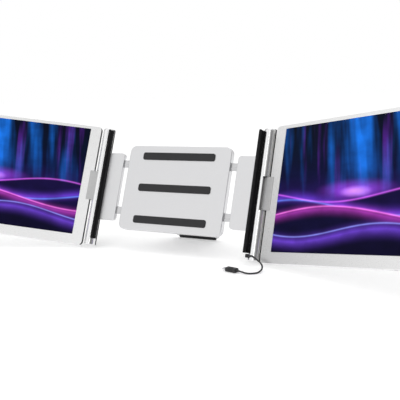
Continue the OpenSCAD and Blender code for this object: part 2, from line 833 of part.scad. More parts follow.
module rear_pads(side) {
    color("dimgray") screen_frame(side)
        for (x = [hinge_gap + rear_pad_inset, hinge_gap + panel_w - rear_pad_inset],
             z = [-panel_h / 2 + rear_pad_inset, panel_h / 2 - rear_pad_inset])
            bar_y(x, z, rear_pad_r, back_y, back_y + rear_pad_t);
}

module button(side) {
    wall_z = -panel_h / 2 + bezel_wall + lift;
    color("silver") screen_frame(side) union() {
        box_between([button_x - button_w / 2, -button_t / 2, -panel_h / 2 - button_proud],
            [button_x + button_w / 2, button_t / 2, wall_z + EPS]);
        box_between([button_x - button_w / 2 - button_flange, -button_t / 2 - button_flange_y, wall_z],
            [button_x + button_w / 2 + button_flange, button_t / 2 + button_flange_y,
                wall_z + button_flange_t]);
    }
}

// ---- cable ----
// Elbow on the foot cap: an upright barrel and a sleeve that tapers to the cable
module cable_gland() {
    color("dimgray") lid_frame() difference() {
        union() {
            translate([gland_x, gland_y, gland_z]) cylinder(h = gland_h, r = gland_r, center = true);
            translate([gland_x, gland_y, gland_z]) rotate([0, 90, gland_aim])
                cylinder(h = sleeve_len, r1 = sleeve_r, r2 = cable_r + sleeve_rim);
        }
        translate([col_x, col_back, 0]) cylinder(h = col_h + 1, r = col_r, center = true);
    }
}

function from_lid(p) =
    [p.x, p.y * cos(lid_lean) + p.z * sin(lid_lean), -p.y * sin(lid_lean) + p.z * cos(lid_lean)];

function cross_section(p, ahead, r) =
    let (side = cross(ahead, [0, 0, 1]), u = side / norm(side), v = cross(u, ahead / norm(ahead)))
    [for (i = [0:cable_sides - 1])
        let (a = 360 * (i + 0.5) / cable_sides) p + r * (cos(a) * u + sin(a) * v)];

// Heading at point i: its first and last are given, so that the ends lie flat on the gland and the plug
function heading(path, i, first, last) =
    i == 0 ? first : i == len(path) - 1 ? last : path[i + 1] - path[i - 1];

module tube_along(path, r, first, last) {
    end = len(path) - 1;
    sides = cable_sides;
    rings = [for (i = [0:end]) each cross_section(path[i], heading(path, i, first, last), r)];
    walls = [for (i = [0:end - 1], j = [0:sides - 1])
        let (k = (j + 1) % sides)
        each [[i * sides + j, (i + 1) * sides + j, i * sides + k],
              [i * sides + k, (i + 1) * sides + j, (i + 1) * sides + k]]];
    ends = [[for (j = [0:sides - 1]) j], [for (j = [sides - 1:-1:0]) end * sides + j]];
    polyhedron(points = rings, faces = concat(walls, ends), convexity = 6);
}

cable_aim = [cos(gland_aim), sin(gland_aim), 0];
cable_start = from_lid([gland_x, gland_y, gland_z] + sleeve_len * cable_aim);
cable_path = concat([cable_start],
    [for (p = cable_route) [cable_start.x + p.x, cable_start.y + p.y, desk_z + p.z]]);

module data_cable() {
    color("dimgray")
        tube_along(cable_path, cable_r, from_lid(cable_aim), [cos(plug_turn), sin(plug_turn), 0]);
}

module plug_frame() {
    translate(cable_path[len(cable_path) - 1]) rotate([0, 0, plug_turn]) children();
}

module plug_grip() {
    color("black") plug_frame() union() {
        rotate([0, 90, 0]) cylinder(h = plug_neck + EPS, r1 = cable_r + neck_rim, r2 = plug_neck_r);
        translate([plug_neck, 0, 0]) rotate([90, 0, 90]) linear_extrude(plug_len)
            rounded_area(-plug_w / 2, -plug_h / 2, plug_w / 2, plug_h / 2, plug_corner_r);
    }
}

module plug_shell() {
    color("silver") plug_frame() translate([plug_neck + plug_len, 0, 0]) rotate([90, 0, 90]) difference() {
        linear_extrude(shell_len) oval(shell_w, shell_t);
        translate([0, 0, shell_floor]) linear_extrude(shell_len)
            oval(shell_w - 2 * shell_wall, shell_t - 2 * shell_wall);
    }
}

// ---- the part ----
mid_front_cover();
mid_back_cover();
mid_screws();
lid_pads();
rail_guides();
stand_bracket();
stand_pin();
stand_plate();
stand_foot();
arm_plate(LEFT);  // left_arm_plate
rails(LEFT);  // left_rails
arm_screws(LEFT);  // left_arm_screws
column(LEFT);  // left_column
column_back(LEFT);  // left_column_back
top_cap(LEFT);  // left_top_cap
foot_cap(LEFT);  // left_foot_cap
grip(LEFT);  // left_grip
grip_liner(LEFT);  // left_grip_liner
hinge_blocks(LEFT);  // left_hinge_blocks
hinge_pin(LEFT);  // left_hinge_pin
washers(LEFT);  // left_washers
knuckle(LEFT);  // left_knuckle
knuckle_screws(LEFT);  // left_knuckle_screws
bezel(LEFT);  // left_bezel
back_cover(LEFT);  // left_back_cover
cover_screws(LEFT);  // left_cover_screws
display(LEFT);  // left_display
backlight(LEFT);  // left_backlight
driver_board(LEFT);  // left_driver_board
usb_socket(LEFT);  // left_usb_socket
rear_pads(LEFT);  // left_rear_pads
button(LEFT);  // left_button
arm_plate(RIGHT);  // right_arm_plate
rails(RIGHT);  // right_rails
arm_screws(RIGHT);  // right_arm_screws
column(RIGHT);  // right_column
column_back(RIGHT);  // right_column_back
top_cap(RIGHT);  // right_top_cap
foot_cap(RIGHT);  // right_foot_cap
grip(RIGHT);  // right_grip
grip_liner(RIGHT);  // right_grip_liner
hinge_blocks(RIGHT);  // right_hinge_blocks
hinge_pin(RIGHT);  // right_hinge_pin
washers(RIGHT);  // right_washers
knuckle(RIGHT);  // right_knuckle
knuckle_screws(RIGHT);  // right_knuckle_screws
bezel(RIGHT);  // right_bezel
back_cover(RIGHT);  // right_back_cover
cover_screws(RIGHT);  // right_cover_screws
display(RIGHT);  // right_display
backlight(RIGHT);  // right_backlight
driver_board(RIGHT);  // right_driver_board
usb_socket(RIGHT);  // right_usb_socket
rear_pads(RIGHT);  // right_rear_pads
button(RIGHT);  // right_button
cable_gland();
data_cable();
plug_grip();
plug_shell();
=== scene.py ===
import math

import bmesh
import bpy
from mathutils import Matrix, Vector


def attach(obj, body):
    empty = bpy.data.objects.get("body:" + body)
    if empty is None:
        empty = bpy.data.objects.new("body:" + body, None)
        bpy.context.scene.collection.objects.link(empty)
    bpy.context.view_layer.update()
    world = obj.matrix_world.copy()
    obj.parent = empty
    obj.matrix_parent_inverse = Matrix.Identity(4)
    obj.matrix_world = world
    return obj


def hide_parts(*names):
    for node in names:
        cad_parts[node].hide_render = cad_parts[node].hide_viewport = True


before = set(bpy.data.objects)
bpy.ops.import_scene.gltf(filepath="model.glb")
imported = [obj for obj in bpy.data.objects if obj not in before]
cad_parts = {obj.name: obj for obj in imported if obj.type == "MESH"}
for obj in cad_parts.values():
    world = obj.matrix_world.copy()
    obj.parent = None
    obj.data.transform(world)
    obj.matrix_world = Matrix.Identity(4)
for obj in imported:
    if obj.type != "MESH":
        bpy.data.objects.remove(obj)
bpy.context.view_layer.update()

MM = 0.001

# ---- the part's own sizes, in metres ----
LEAN = math.radians(23.7)
SWING = math.radians(22)
COL_X, COL_Y = 169.8 * MM, 10.3 * MM
COL_R, COL_WALL, COL_H = 11 * MM, 2.2 * MM, 230 * MM
TOP_CAP_H, TOP_CAP_R, FOOT_CAP_H, FOOT_CAP_R = 4 * MM, 3.5 * MM, 11 * MM, 1 * MM
COL_SEAM, COL_STEPS = 0.2 * MM, 128
AXIS_X, AXIS_Y = COL_X + 5 * MM, COL_Y + 1.85 * MM
WINDOW_H, WINDOW_FRONT, WINDOW_BACK = 58.6 * MM, 1.6 * MM, 0.4 * MM
# The dark sheet round the column's back, which is painted shade: its gap, thickness and the turn of its
# front edge
SHADE_SHEET_GAP, SHADE_SHEET_T, SHADE_SHEET_TURN = 0.1 * MM, 0.5 * MM, math.radians(14)
DESK_Z = -(COL_Y + COL_R) * math.sin(LEAN) - COL_H / 2 * math.cos(LEAN)

HINGE_GAP, PANEL_W, PANEL_H, PANEL_R = 11.5 * MM, 365 * MM, 236 * MM, 8 * MM
FACE_Y, SEAM_Y, BACK_Y = -5 * MM, 2 * MM, 4 * MM
PANEL_X1, PANEL_Z0 = HINGE_GAP + PANEL_W, -PANEL_H / 2
PICTURE_X0, PICTURE_X1 = HINGE_GAP + 22 * MM, PANEL_X1 - 7 * MM
PICTURE_Z0, PICTURE_Z1, PICTURE_R = PANEL_Z0 + 19.5 * MM, PANEL_H / 2 - 6.5 * MM, 0.3 * MM
DISPLAY_Y, DISPLAY_T, DISPLAY_LAP, DISPLAY_EDGE = -4.2 * MM, 2.4 * MM, 2.5 * MM, 0.2 * MM
BEZEL_WALL, BEZEL_EDGE, BEZEL_CUT, SEAM = 1.6 * MM, 1 * MM, 3 * MM, 0.1 * MM
BACK_EDGE, BACK_RIM, BACK_HOLLOW = 1.2 * MM, 3.5 * MM, 1 * MM
BOARD_X0, BOARD_X1, BOSS_R = 243.5 * MM, 339.5 * MM, 3 * MM
BUTTON_X, BUTTON_W, BUTTON_T = BOARD_X1 - 20 * MM, 10 * MM, 2.8 * MM
BUTTON_OUT, BUTTON_IN, BUTTON_GAP = 0.8 * MM, 1.7 * MM, 0.12 * MM
FLANGE_W, FLANGE_T, FLANGE_Z0, FLANGE_Z1 = 12.4 * MM, 3.6 * MM, 1.65 * MM, 2.55 * MM
SOCKET_X, SOCKET_W, SOCKET_T, SOCKET_GAP = BOARD_X0 + 24 * MM, 8.9 * MM, 3.2 * MM, 0.05 * MM
CONTACT_W, CONTACT_T, CONTACT_Z0, CONTACT_Z1 = 6.6 * MM, 0.7 * MM, 1 * MM, 7 * MM
BUTTON_EDGE, FLANGE_EDGE, CONTACT_EDGE = 0.45 * MM, 0.1 * MM, 0.12 * MM
SCREW_HEAD_R, SCREW_HEAD_H, SCREW_SUNK, SCREW_GAP = 1.9 * MM, 1.1 * MM, 0.1 * MM, 0.15 * MM
SCREW_R, SCREW_LEN = 0.85 * MM, 4.9 * MM
COVER_SCREWS = [
    (HINGE_GAP + 12 * MM, PANEL_H / 2 - 23 * MM), (HINGE_GAP + 12 * MM, PANEL_Z0 + 23 * MM),
    (HINGE_GAP + 95 * MM, PANEL_Z0 + 9 * MM), (BOARD_X0 - 2 * BOSS_R, PANEL_Z0 + 9 * MM),
    (BOARD_X1 + 2 * BOSS_R, PANEL_Z0 + 9 * MM),
]
REAR_PAD_R, REAR_PAD_T, REAR_PAD_INSET = 5 * MM, 1 * MM, 30 * MM

KNUCKLE_H, BARREL_R, LEAF_BACK, LIFT = 57 * MM, 6.5 * MM, 2.9 * MM, 0.05 * MM
KNUCKLE_X1, KNUCKLE_R, KNUCKLE_EDGE = HINGE_GAP + 8 * MM, 1.4 * MM, 0.4 * MM
LUG_T, LUG_H, LUG_LEN, LUG_GAP, LUG_LAP = 3 * MM, 40 * MM, 17.5 * MM, 0.1 * MM, 0.2 * MM
LUG_EDGE = 0.2 * MM
PIN_R, PIN_GAP = 2.5 * MM, 0.05 * MM
MARK_R, MARK_DEPTH, MARK_UP, MARK_XS = 0.7 * MM, 0.6 * MM, 3.2 * MM, (9 * MM, 15 * MM)

# Lid grips, x from the column axis, y from the lid's back
SLOT_W, LINER_T, GRIP_WALL = 5.6 * MM, 0.5 * MM, 0.9 * MM
LINER_X = -COL_R - 0.6 * MM
WEB_X = LINER_X + LINER_T
GRIP_X1, GRIP_R, GRIP_EDGE = WEB_X + GRIP_WALL, 0.8 * MM, 0.2 * MM
FRONT_MOUTH_X = LINER_X - 2.4 * MM
BACK_MOUTH_X = FRONT_MOUTH_X - 3.4 * MM
GRIP_SEAT_Y = 2.8 * MM
GRIP_FRONT_Y = -SLOT_W - LINER_T - GRIP_WALL
SEAT_X1 = -math.sqrt(COL_R ** 2 - (COL_Y - GRIP_SEAT_Y) ** 2)
GRIP_Z0, GRIP_Z1 = -COL_H / 2 + FOOT_CAP_H + 1 * MM, COL_H / 2 - TOP_CAP_H - 1 * MM

ARM_X0, ARM_Y0, ARM_Y1, ARM_H, ARM_R = 119 * MM, 3 * MM, 11 * MM, 130 * MM, 6 * MM
RAIL_X0, RAIL_X1, RAIL_Y, RAIL_T, RAIL_H = 30 * MM, 152 * MM, 7.5 * MM, 3 * MM, 14 * MM
RAIL_ZS, RAIL_STOP, RAIL_STOP_T = (-45 * MM, 45 * MM), 5 * MM, 5 * MM
RAIL_HOLES, RAIL_EDGE = (128 * MM, 144 * MM), 0.3 * MM
RAIL_HEAD_R, RAIL_HEAD_H = 2.5 * MM, 1.2 * MM

MID_W, MID_H, MID_R, MID_WALL = 212 * MM, 160 * MM, 12 * MM, 2 * MM
MID_Y0, MID_Y1, MID_Y2 = 1.5 * MM, 11.7 * MM, 13.7 * MM
MID_EDGE, MID_BACK_EDGE, MID_SEAM = 1.2 * MM, 0.8 * MM, 0.15 * MM
MID_SCREWS = [(x, z) for x in (-90 * MM, 90 * MM) for z in (-69 * MM, 69 * MM)]
MID_HEAD_R, MID_HEAD_H, MID_SCREW_R, MID_SCREW_LEN = 2.7 * MM, 1.2 * MM, 1.1 * MM, 6 * MM
HEAD_GAP = 0.1 * MM
PAD_W, PAD_H, PAD_R, PAD_EDGE, PAD_ROWS = 150 * MM, 14 * MM, 4 * MM, 0.5 * MM, (-60 * MM, 0, 60 * MM)

STAND_Y, STAND_Z, STAND_OPEN = 19.6 * MM, 32 * MM, math.radians(45.6)
STAND_W, STAND_T, STAND_R, STAND_EDGE = 100 * MM, 2.5 * MM, 10 * MM, 0.6 * MM
FOOT_R, FOOT_W, FOOT_EDGE = 3.5 * MM, 80 * MM, 1.2 * MM
STAND_BARREL_R, STAND_BARREL_W, STAND_BARREL_EDGE = 4 * MM, 106 * MM, 0.4 * MM
STAND_LEN = ((-STAND_Y * math.sin(LEAN) + STAND_Z * math.cos(LEAN) - DESK_Z - FOOT_R)
             / math.cos(STAND_OPEN - LEAN))
BRACKET_W, BRACKET_H, BRACKET_T, BRACKET_R, BRACKET_EDGE = 118 * MM, 18 * MM, 1.5 * MM, 3 * MM, 0.4 * MM
EAR_T, EAR_R, EAR_GAP, EAR_EDGE = 3 * MM, 4.6 * MM, 0.3 * MM, 0.3 * MM

CABLE_D = 2.8 * MM
GLAND_TURN, GLAND_AIM = math.radians(40), math.radians(-30)
GLAND_Z, GLAND_OUT, GLAND_R, GLAND_H = -COL_H / 2 + 7 * MM, COL_R + 2.4 * MM, 3 * MM, 6 * MM
SLEEVE_LEN, SLEEVE_R = 8 * MM, 2.3 * MM
PLUG_TURN = math.radians(168)
PLUG_NECK, PLUG_LEN, PLUG_W, PLUG_H, PLUG_R = 4 * MM, 20 * MM, 11.5 * MM, 7 * MM, 2.6 * MM
# The cable over the desk, as in the part's source: x and y from the sleeve's end, and the height
# above the desk, in metres
CABLE_ROUTE = [
    (0.0043, -0.0017, 0.0172), (0.0084, -0.0044, 0.0167), (0.0127, -0.0074, 0.0158),
    (0.0171, -0.0106, 0.0145), (0.0217, -0.0136, 0.013), (0.0263, -0.0166, 0.011),
    (0.0299, -0.0202, 0.0088), (0.0321, -0.0246, 0.0064), (0.0325, -0.0296, 0.0041),
    (0.0311, -0.0346, 0.0024), (0.0279, -0.0392, 0.0015), (0.0233, -0.043, 0.0014),
    (0.0179, -0.0453, 0.0014), (0.0119, -0.0462, 0.0019), (0.0059, -0.0457, 0.0029),
    (-0.0001, -0.0446, 0.0035),
]
SIDES = ("left", "right")

# ---- frames ----
def lid_matrix():
    return Matrix.Rotation(-LEAN, 4, "X")


def side_matrix(side):
    mirror = Matrix.Scale(-1 if side == "left" else 1, 4, (1, 0, 0))
    return lid_matrix() @ mirror


def column_matrix(side):
    return side_matrix(side) @ Matrix.Translation((COL_X, COL_Y, 0))


def grip_matrix(side):
    return column_matrix(side) @ Matrix.Translation((0, -COL_Y, 0))


def screen_matrix(side):
    return (side_matrix(side) @ Matrix.Translation((AXIS_X, AXIS_Y, 0))
            @ Matrix.Rotation(-SWING, 4, "Z"))


def stand_matrix():
    return (lid_matrix() @ Matrix.Translation((0, STAND_Y, STAND_Z))
            @ Matrix.Rotation(STAND_OPEN, 4, "X"))


def gland_matrix():
    return (lid_matrix() @ Matrix.Translation((COL_X - GLAND_OUT * math.sin(GLAND_TURN),
                                               COL_Y - GLAND_OUT * math.cos(GLAND_TURN), GLAND_Z))
            @ Matrix.Rotation(GLAND_AIM, 4, "Z"))


def cable_points():
    start = gland_matrix() @ Vector((SLEEVE_LEN, 0, 0))
    return [start] + [Vector((start.x + x, start.y + y, DESK_Z + up)) for x, y, up in CABLE_ROUTE]


def plug_matrix():
    return Matrix.Translation(cable_points()[-1]) @ Matrix.Rotation(PLUG_TURN, 4, "Z")


# ---- nodes ----
WHITE = (1, 1, 1)
# The Mix node's sockets for colours, by number, because their names are those of its other sockets too
MIX_FACTOR, MIX_A, MIX_B, MIX_RESULT = 0, 6, 7, 2
# Most of a noise texture's values lie between these
NOISE_LOW, NOISE_HIGH = 0.3, 0.7


def put(tree, socket, value):
    """A number, a colour or another node's output into a socket."""
    if isinstance(value, (int, float)):
        socket.default_value = value
    elif isinstance(value, tuple):
        socket.default_value = (*value, 1)
    else:
        tree.links.new(value, socket)


def math_node(tree, kind, a, b=None, clamp=False):
    node = tree.nodes.new("ShaderNodeMath")
    node.operation = kind
    node.use_clamp = clamp
    put(tree, node.inputs[0], a)
    if b is not None:
        put(tree, node.inputs[1], b)
    return node.outputs[0]


def mix_node(tree, kind, factor, a, b):
    node = tree.nodes.new("ShaderNodeMix")
    node.data_type = "RGBA"
    node.blend_type = kind
    for number, value in ((MIX_FACTOR, factor), (MIX_A, a), (MIX_B, b)):
        put(tree, node.inputs[number], value)
    return node.outputs[MIX_RESULT]


def range_node(tree, value, low, high, to_low=0, to_high=1, kind="LINEAR"):
    node = tree.nodes.new("ShaderNodeMapRange")
    node.interpolation_type = kind
    for name, limit in zip(("From Min", "From Max", "To Min", "To Max"), (low, high, to_low, to_high)):
        node.inputs[name].default_value = limit
    tree.links.new(value, node.inputs["Value"])
    return node.outputs["Result"]


def ramp_node(tree, value, stops, kind="LINEAR"):
    """A colour ramp over stops of a place and a colour."""
    node = tree.nodes.new("ShaderNodeValToRGB")
    node.color_ramp.interpolation = kind
    elements = node.color_ramp.elements
    for element, (place, color) in zip((elements[0], elements[1]), (stops[0], stops[-1])):
        element.position, element.color = place, (*color, 1)
    for place, color in stops[1:-1]:
        elements.new(place).color = (*color, 1)
    tree.links.new(value, node.inputs["Fac"])
    return node.outputs["Color"]


def noise_node(tree, vector, scale, detail):
    node = tree.nodes.new("ShaderNodeTexNoise")
    node.inputs["Scale"].default_value = scale
    node.inputs["Detail"].default_value = detail
    tree.links.new(vector, node.inputs["Vector"])
    return node.outputs["Fac"]


def split_node(tree, vector):
    node = tree.nodes.new("ShaderNodeSeparateXYZ")
    tree.links.new(vector, node.inputs["Vector"])
    return node.outputs


# ---- camera, light and floor ----
# The camera fitted to the photo: its place, its axes and its lens
CAMERA_PLACE = (0.60591, -1.01656, 0.20728)
CAMERA_RIGHT, CAMERA_UP = (0.88218, 0.46864, -0.04626), (-0.04974, 0.19041, 0.98044)
CAMERA_BACK = (0.46828, -0.86262, 0.19129)
LENS, SENSOR_W, CLIP_END = 59.89, 36, 20
FLOOR_REACH, FLOOR_DROP, FLOOR_GLOW = 6, 0.2 * MM, 0.3
# Brightness of the studio's walls by compass direction, in degrees from the viewer's side towards
# +X: near the floor, above it, and high up
WALL_LOW = [(-180, 0.9), (-125, 0.7), (-100, 0.3), (-82, 0.12), (-73, 0.14), (-66, 0.42), (-60, 1),
            (-50, 1), (12, 1), (22, 0.78), (34, 0.36), (50, 0.17), (66, 0.2), (80, 0.45), (92, 0.72),
            (108, 0.9), (124, 0.6), (140, 0.4), (165, 0.7), (180, 0.9)]
WALL_MIDDLE = [(-180, 0.9), (-125, 0.8), (-100, 0.55), (-86, 0.8), (-76, 1), (-60, 1), (-8, 1),
               (1, 0.86), (8, 0.8), (15, 0.85), (22, 0.74), (34, 0.34), (50, 0.17), (66, 0.2), (82, 0.5),
               (110, 0.8), (140, 0.7), (180, 0.9)]
WALL_HIGH = [(-180, 0.9), (-125, 0.9), (-100, 0.8), (-60, 1), (-12, 1), (-2, 0.8), (6, 0.48), (14, 0.62),
             (22, 0.66), (34, 0.34), (50, 0.18), (66, 0.24), (82, 0.5), (110, 0.8), (140, 0.8), (180, 0.9)]
# The heights, as the sine of the angle above the floor, over which each gives way to the next, and
# the last to white
WALL_STEPS = ((0.24, 0.42), (0.48, 0.61), (0.7, 0.85))
# The studio's lights: name, place, width and height, and watts
LIGHTS = (("front_box", (0.52, -1.9, 1.15), (0.24, 1.2), 1.7), ("top_box", (0, 0.2, 2.0), (1.6, 1.2), 6))


def add_object(name, data):
    obj = bpy.data.objects.new(name, data)
    bpy.context.scene.collection.objects.link(obj)
    return obj


def make_camera():
    data = bpy.data.cameras.new("camera")
    data.lens, data.sensor_width, data.clip_end = LENS, SENSOR_W, CLIP_END
    data.sensor_fit = "HORIZONTAL"
    camera = add_object("camera", data)
    turn = Matrix((CAMERA_RIGHT, CAMERA_UP, CAMERA_BACK)).transposed().to_4x4()
    camera.matrix_world = Matrix.Translation(CAMERA_PLACE) @ turn
    bpy.context.scene.camera = camera


def softbox(name, place, size, power):
    """A rectangular light that faces the part's origin."""
    data = bpy.data.lights.new(name, "AREA")
    data.shape = "RECTANGLE"
    data.size, data.size_y = size
    data.energy = power
    turn = (-Vector(place)).to_track_quat("-Z", "Y").to_matrix().to_4x4()
    add_object(name, data).matrix_world = Matrix.Translation(place) @ turn


def light_scene():
    scene = bpy.context.scene
    scene.view_settings.view_transform = "Standard"
    scene.world = bpy.data.worlds.new("studio")
    scene.world.use_nodes = True
    tree = scene.world.node_tree
    nodes, links = tree.nodes, tree.links
    nodes.clear()
    x, y, z = split_node(tree, nodes.new("ShaderNodeTexCoord").outputs["Generated"])
    turn = math_node(tree, "ARCTAN2", x, math_node(tree, "MULTIPLY", y, -1))
    compass = math_node(tree, "ADD", math_node(tree, "MULTIPLY", turn, 0.5 / math.pi), 0.5)
    walls = []
    for wall in (WALL_LOW, WALL_MIDDLE, WALL_HIGH):
        stops = [((angle + 180) / 360, (level, level, level)) for angle, level in wall]
        walls.append(ramp_node(tree, compass, stops, "B_SPLINE"))
    sky = walls[0]
    for (start, end), above in zip(WALL_STEPS, walls[1:] + [WHITE]):
        sky = mix_node(tree, "MIX", range_node(tree, z, start, end, kind="SMOOTHSTEP"), sky, above)
    # The camera sees white, and everything else the studio
    out = nodes.new("ShaderNodeOutputWorld")
    mix = nodes.new("ShaderNodeMixShader")
    put(tree, mix.inputs[0], nodes.new("ShaderNodeLightPath").outputs["Is Camera Ray"])
    for number, color in ((1, sky), (2, WHITE)):
        background = nodes.new("ShaderNodeBackground")
        put(tree, background.inputs["Color"], color)
        links.new(background.outputs[0], mix.inputs[number])
    links.new(mix.outputs[0], out.inputs["Surface"])
    for name, place, size, power in LIGHTS:
        softbox(name, place, size, power)


def make_floor():
    bm = bmesh.new()
    bmesh.ops.create_grid(bm, x_segments=1, y_segments=1, size=FLOOR_REACH)
    mesh = bpy.data.meshes.new("floor")
    bm.to_mesh(mesh)
    bm.free()
    floor = add_object("floor", mesh)
    floor.location.z = DESK_Z - FLOOR_DROP
    mat = new_material("floor_paper", (0.9, 0.9, 0.9), 0.9, specular=0.1)
    tree = mat.node_tree
    nodes, links = tree.nodes, tree.links
    # It glows for the camera, metal and glass, but not for the rays that light matt surfaces
    path = nodes.new("ShaderNodeLightPath").outputs
    seen = math_node(tree, "MAXIMUM", path["Is Glossy Ray"], path["Is Transmission Ray"])
    seen = math_node(tree, "MAXIMUM", path["Is Camera Ray"], seen)
    glow = nodes.new("ShaderNodeEmission")
    put(tree, glow.inputs["Color"], WHITE)
    put(tree, glow.inputs["Strength"], math_node(tree, "MULTIPLY", seen, FLOOR_GLOW))
    add = nodes.new("ShaderNodeAddShader")
    links.new(nodes["Principled BSDF"].outputs[0], add.inputs[0])
    links.new(glow.outputs[0], add.inputs[1])
    links.new(add.outputs[0], nodes["Material Output"].inputs["Surface"])
    mesh.materials.append(mat)


# ---- materials ----
EVEN = (1, 1, 1)
GRAIN_DETAIL, GRAIN_DEPTH = 4, 0.2 * MM
# Each material's name, colour, roughness, metallic and specular; then its grain: stretch per axis,
# scale, range of roughness, range of colour factors, and relief
MATERIALS = {
    "satin": ("satin_silver", (0.74, 0.74, 0.75), 0.4, 1, 0.5,
              EVEN, 900, (0.34, 0.46), (0.97, 1.03), 0.12),
    "bezel": ("bezel_silver", (0.9, 0.9, 0.9), 0.3, 0.95, 0.5,
              EVEN, 1100, (0.26, 0.36), (0.98, 1.02), 0.08),
    "column": ("column_silver", (0.9, 0.9, 0.905), 0.16, 1, 0.5,
               (900, 900, 12), 1, (0.13, 0.2), (0.97, 1.02), 0.01),
    "knuckle": ("knuckle_grey", (0.58, 0.58, 0.58), 0.4, 0.5, 0.5,
                (14, 800, 800), 1, (0.34, 0.48), (0.92, 1.06), 0.12),
    "steel": ("bright_steel", (0.62, 0.62, 0.63), 0.28, 1, 0.5,
              (10, 700, 700), 1, (0.22, 0.34), (0.93, 1.04), 0.08),
    "screw": ("black_screw", (0.06, 0.06, 0.065), 0.4, 1, 0.5,
              EVEN, 800, (0.34, 0.5), (0.85, 1.15), 0.1),
    # Dark grip plastic for the lid channels and the socket tongue; on the sheet round the column's back it
    # is painted shade
    "grip": ("grip_plastic", (0.006, 0.006, 0.007), 0.5, 0, 0.2,
             EVEN, 1500, (0.45, 0.62), (0.8, 1.25), 0.25),
    # Painted shade: this dark material stands for the left housing's hinge-side wall in shade
    "edge": ("dark_edge", (0.035, 0.035, 0.038), 0.45, 0, 0.25,
             EVEN, 1300, (0.38, 0.52), (0.85, 1.2), 0.15),
    "rubber": ("soft_rubber", (0.022, 0.022, 0.024), 0.75, 0, 0.35,
               EVEN, 1200, (0.66, 0.85), (0.8, 1.25), 0.35),
    "strip": ("strip_rubber", (0.03, 0.03, 0.032), 0.7, 0, 0.35,
              (1, 1, 900), 1, (0.6, 0.8), (0.75, 1.25), 0.4),
    "cable": ("cable_jacket", (0.02, 0.02, 0.022), 0.48, 0, 0.5,
              EVEN, 1600, (0.42, 0.56), (0.85, 1.2), 0.2),
    # Pale plastic for the rail guides and backlight; on the right housing's hinge wall it is painted light
    "pale": ("pale_plastic", (0.75, 0.75, 0.73), 0.5, 0, 0.5,
             EVEN, 900, (0.45, 0.6), (0.96, 1.03), 0.15),
    "board": ("board_green", (0.02, 0.13, 0.06), 0.35, 0, 0.5,
              EVEN, 400, (0.3, 0.45), (0.8, 1.2), 0.1),
}


def new_material(name, color, roughness, metallic=0.0, specular=0.5):
    mat = bpy.data.materials.new(name)
    mat.use_nodes = True
    shader = mat.node_tree.nodes["Principled BSDF"]
    shader.inputs["Base Color"].default_value = (*color, 1)
    shader.inputs["Roughness"].default_value = roughness
    shader.inputs["Metallic"].default_value = metallic
    shader.inputs["Specular IOR Level"].default_value = specular
    return mat


def add_grain(mat, stretch, scale, rough, tint, relief):
    """Noise on the roughness (low, high), the colour (dark, light factors) and the surface."""
    tree = mat.node_tree
    nodes, links = tree.nodes, tree.links
    shader = nodes["Principled BSDF"]
    mapping = nodes.new("ShaderNodeMapping")
    mapping.inputs["Scale"].default_value = stretch
    links.new(nodes.new("ShaderNodeTexCoord").outputs["Object"], mapping.inputs["Vector"])
    noise = noise_node(tree, mapping.outputs["Vector"], scale, GRAIN_DETAIL)
    links.new(range_node(tree, noise, NOISE_LOW, NOISE_HIGH, *rough), shader.inputs["Roughness"])
    base = shader.inputs["Base Color"].default_value[:3]
    stops = [(place, [min(c * factor, 1) for c in base])
             for place, factor in zip((NOISE_LOW, NOISE_HIGH), tint)]
    links.new(ramp_node(tree, noise, stops), shader.inputs["Base Color"])
    bump = nodes.new("ShaderNodeBump")
    bump.inputs["Strength"].default_value = relief
    bump.inputs["Distance"].default_value = GRAIN_DEPTH
    links.new(noise, bump.inputs["Height"])
    links.new(bump.outputs["Normal"], shader.inputs["Normal"])
    return mat


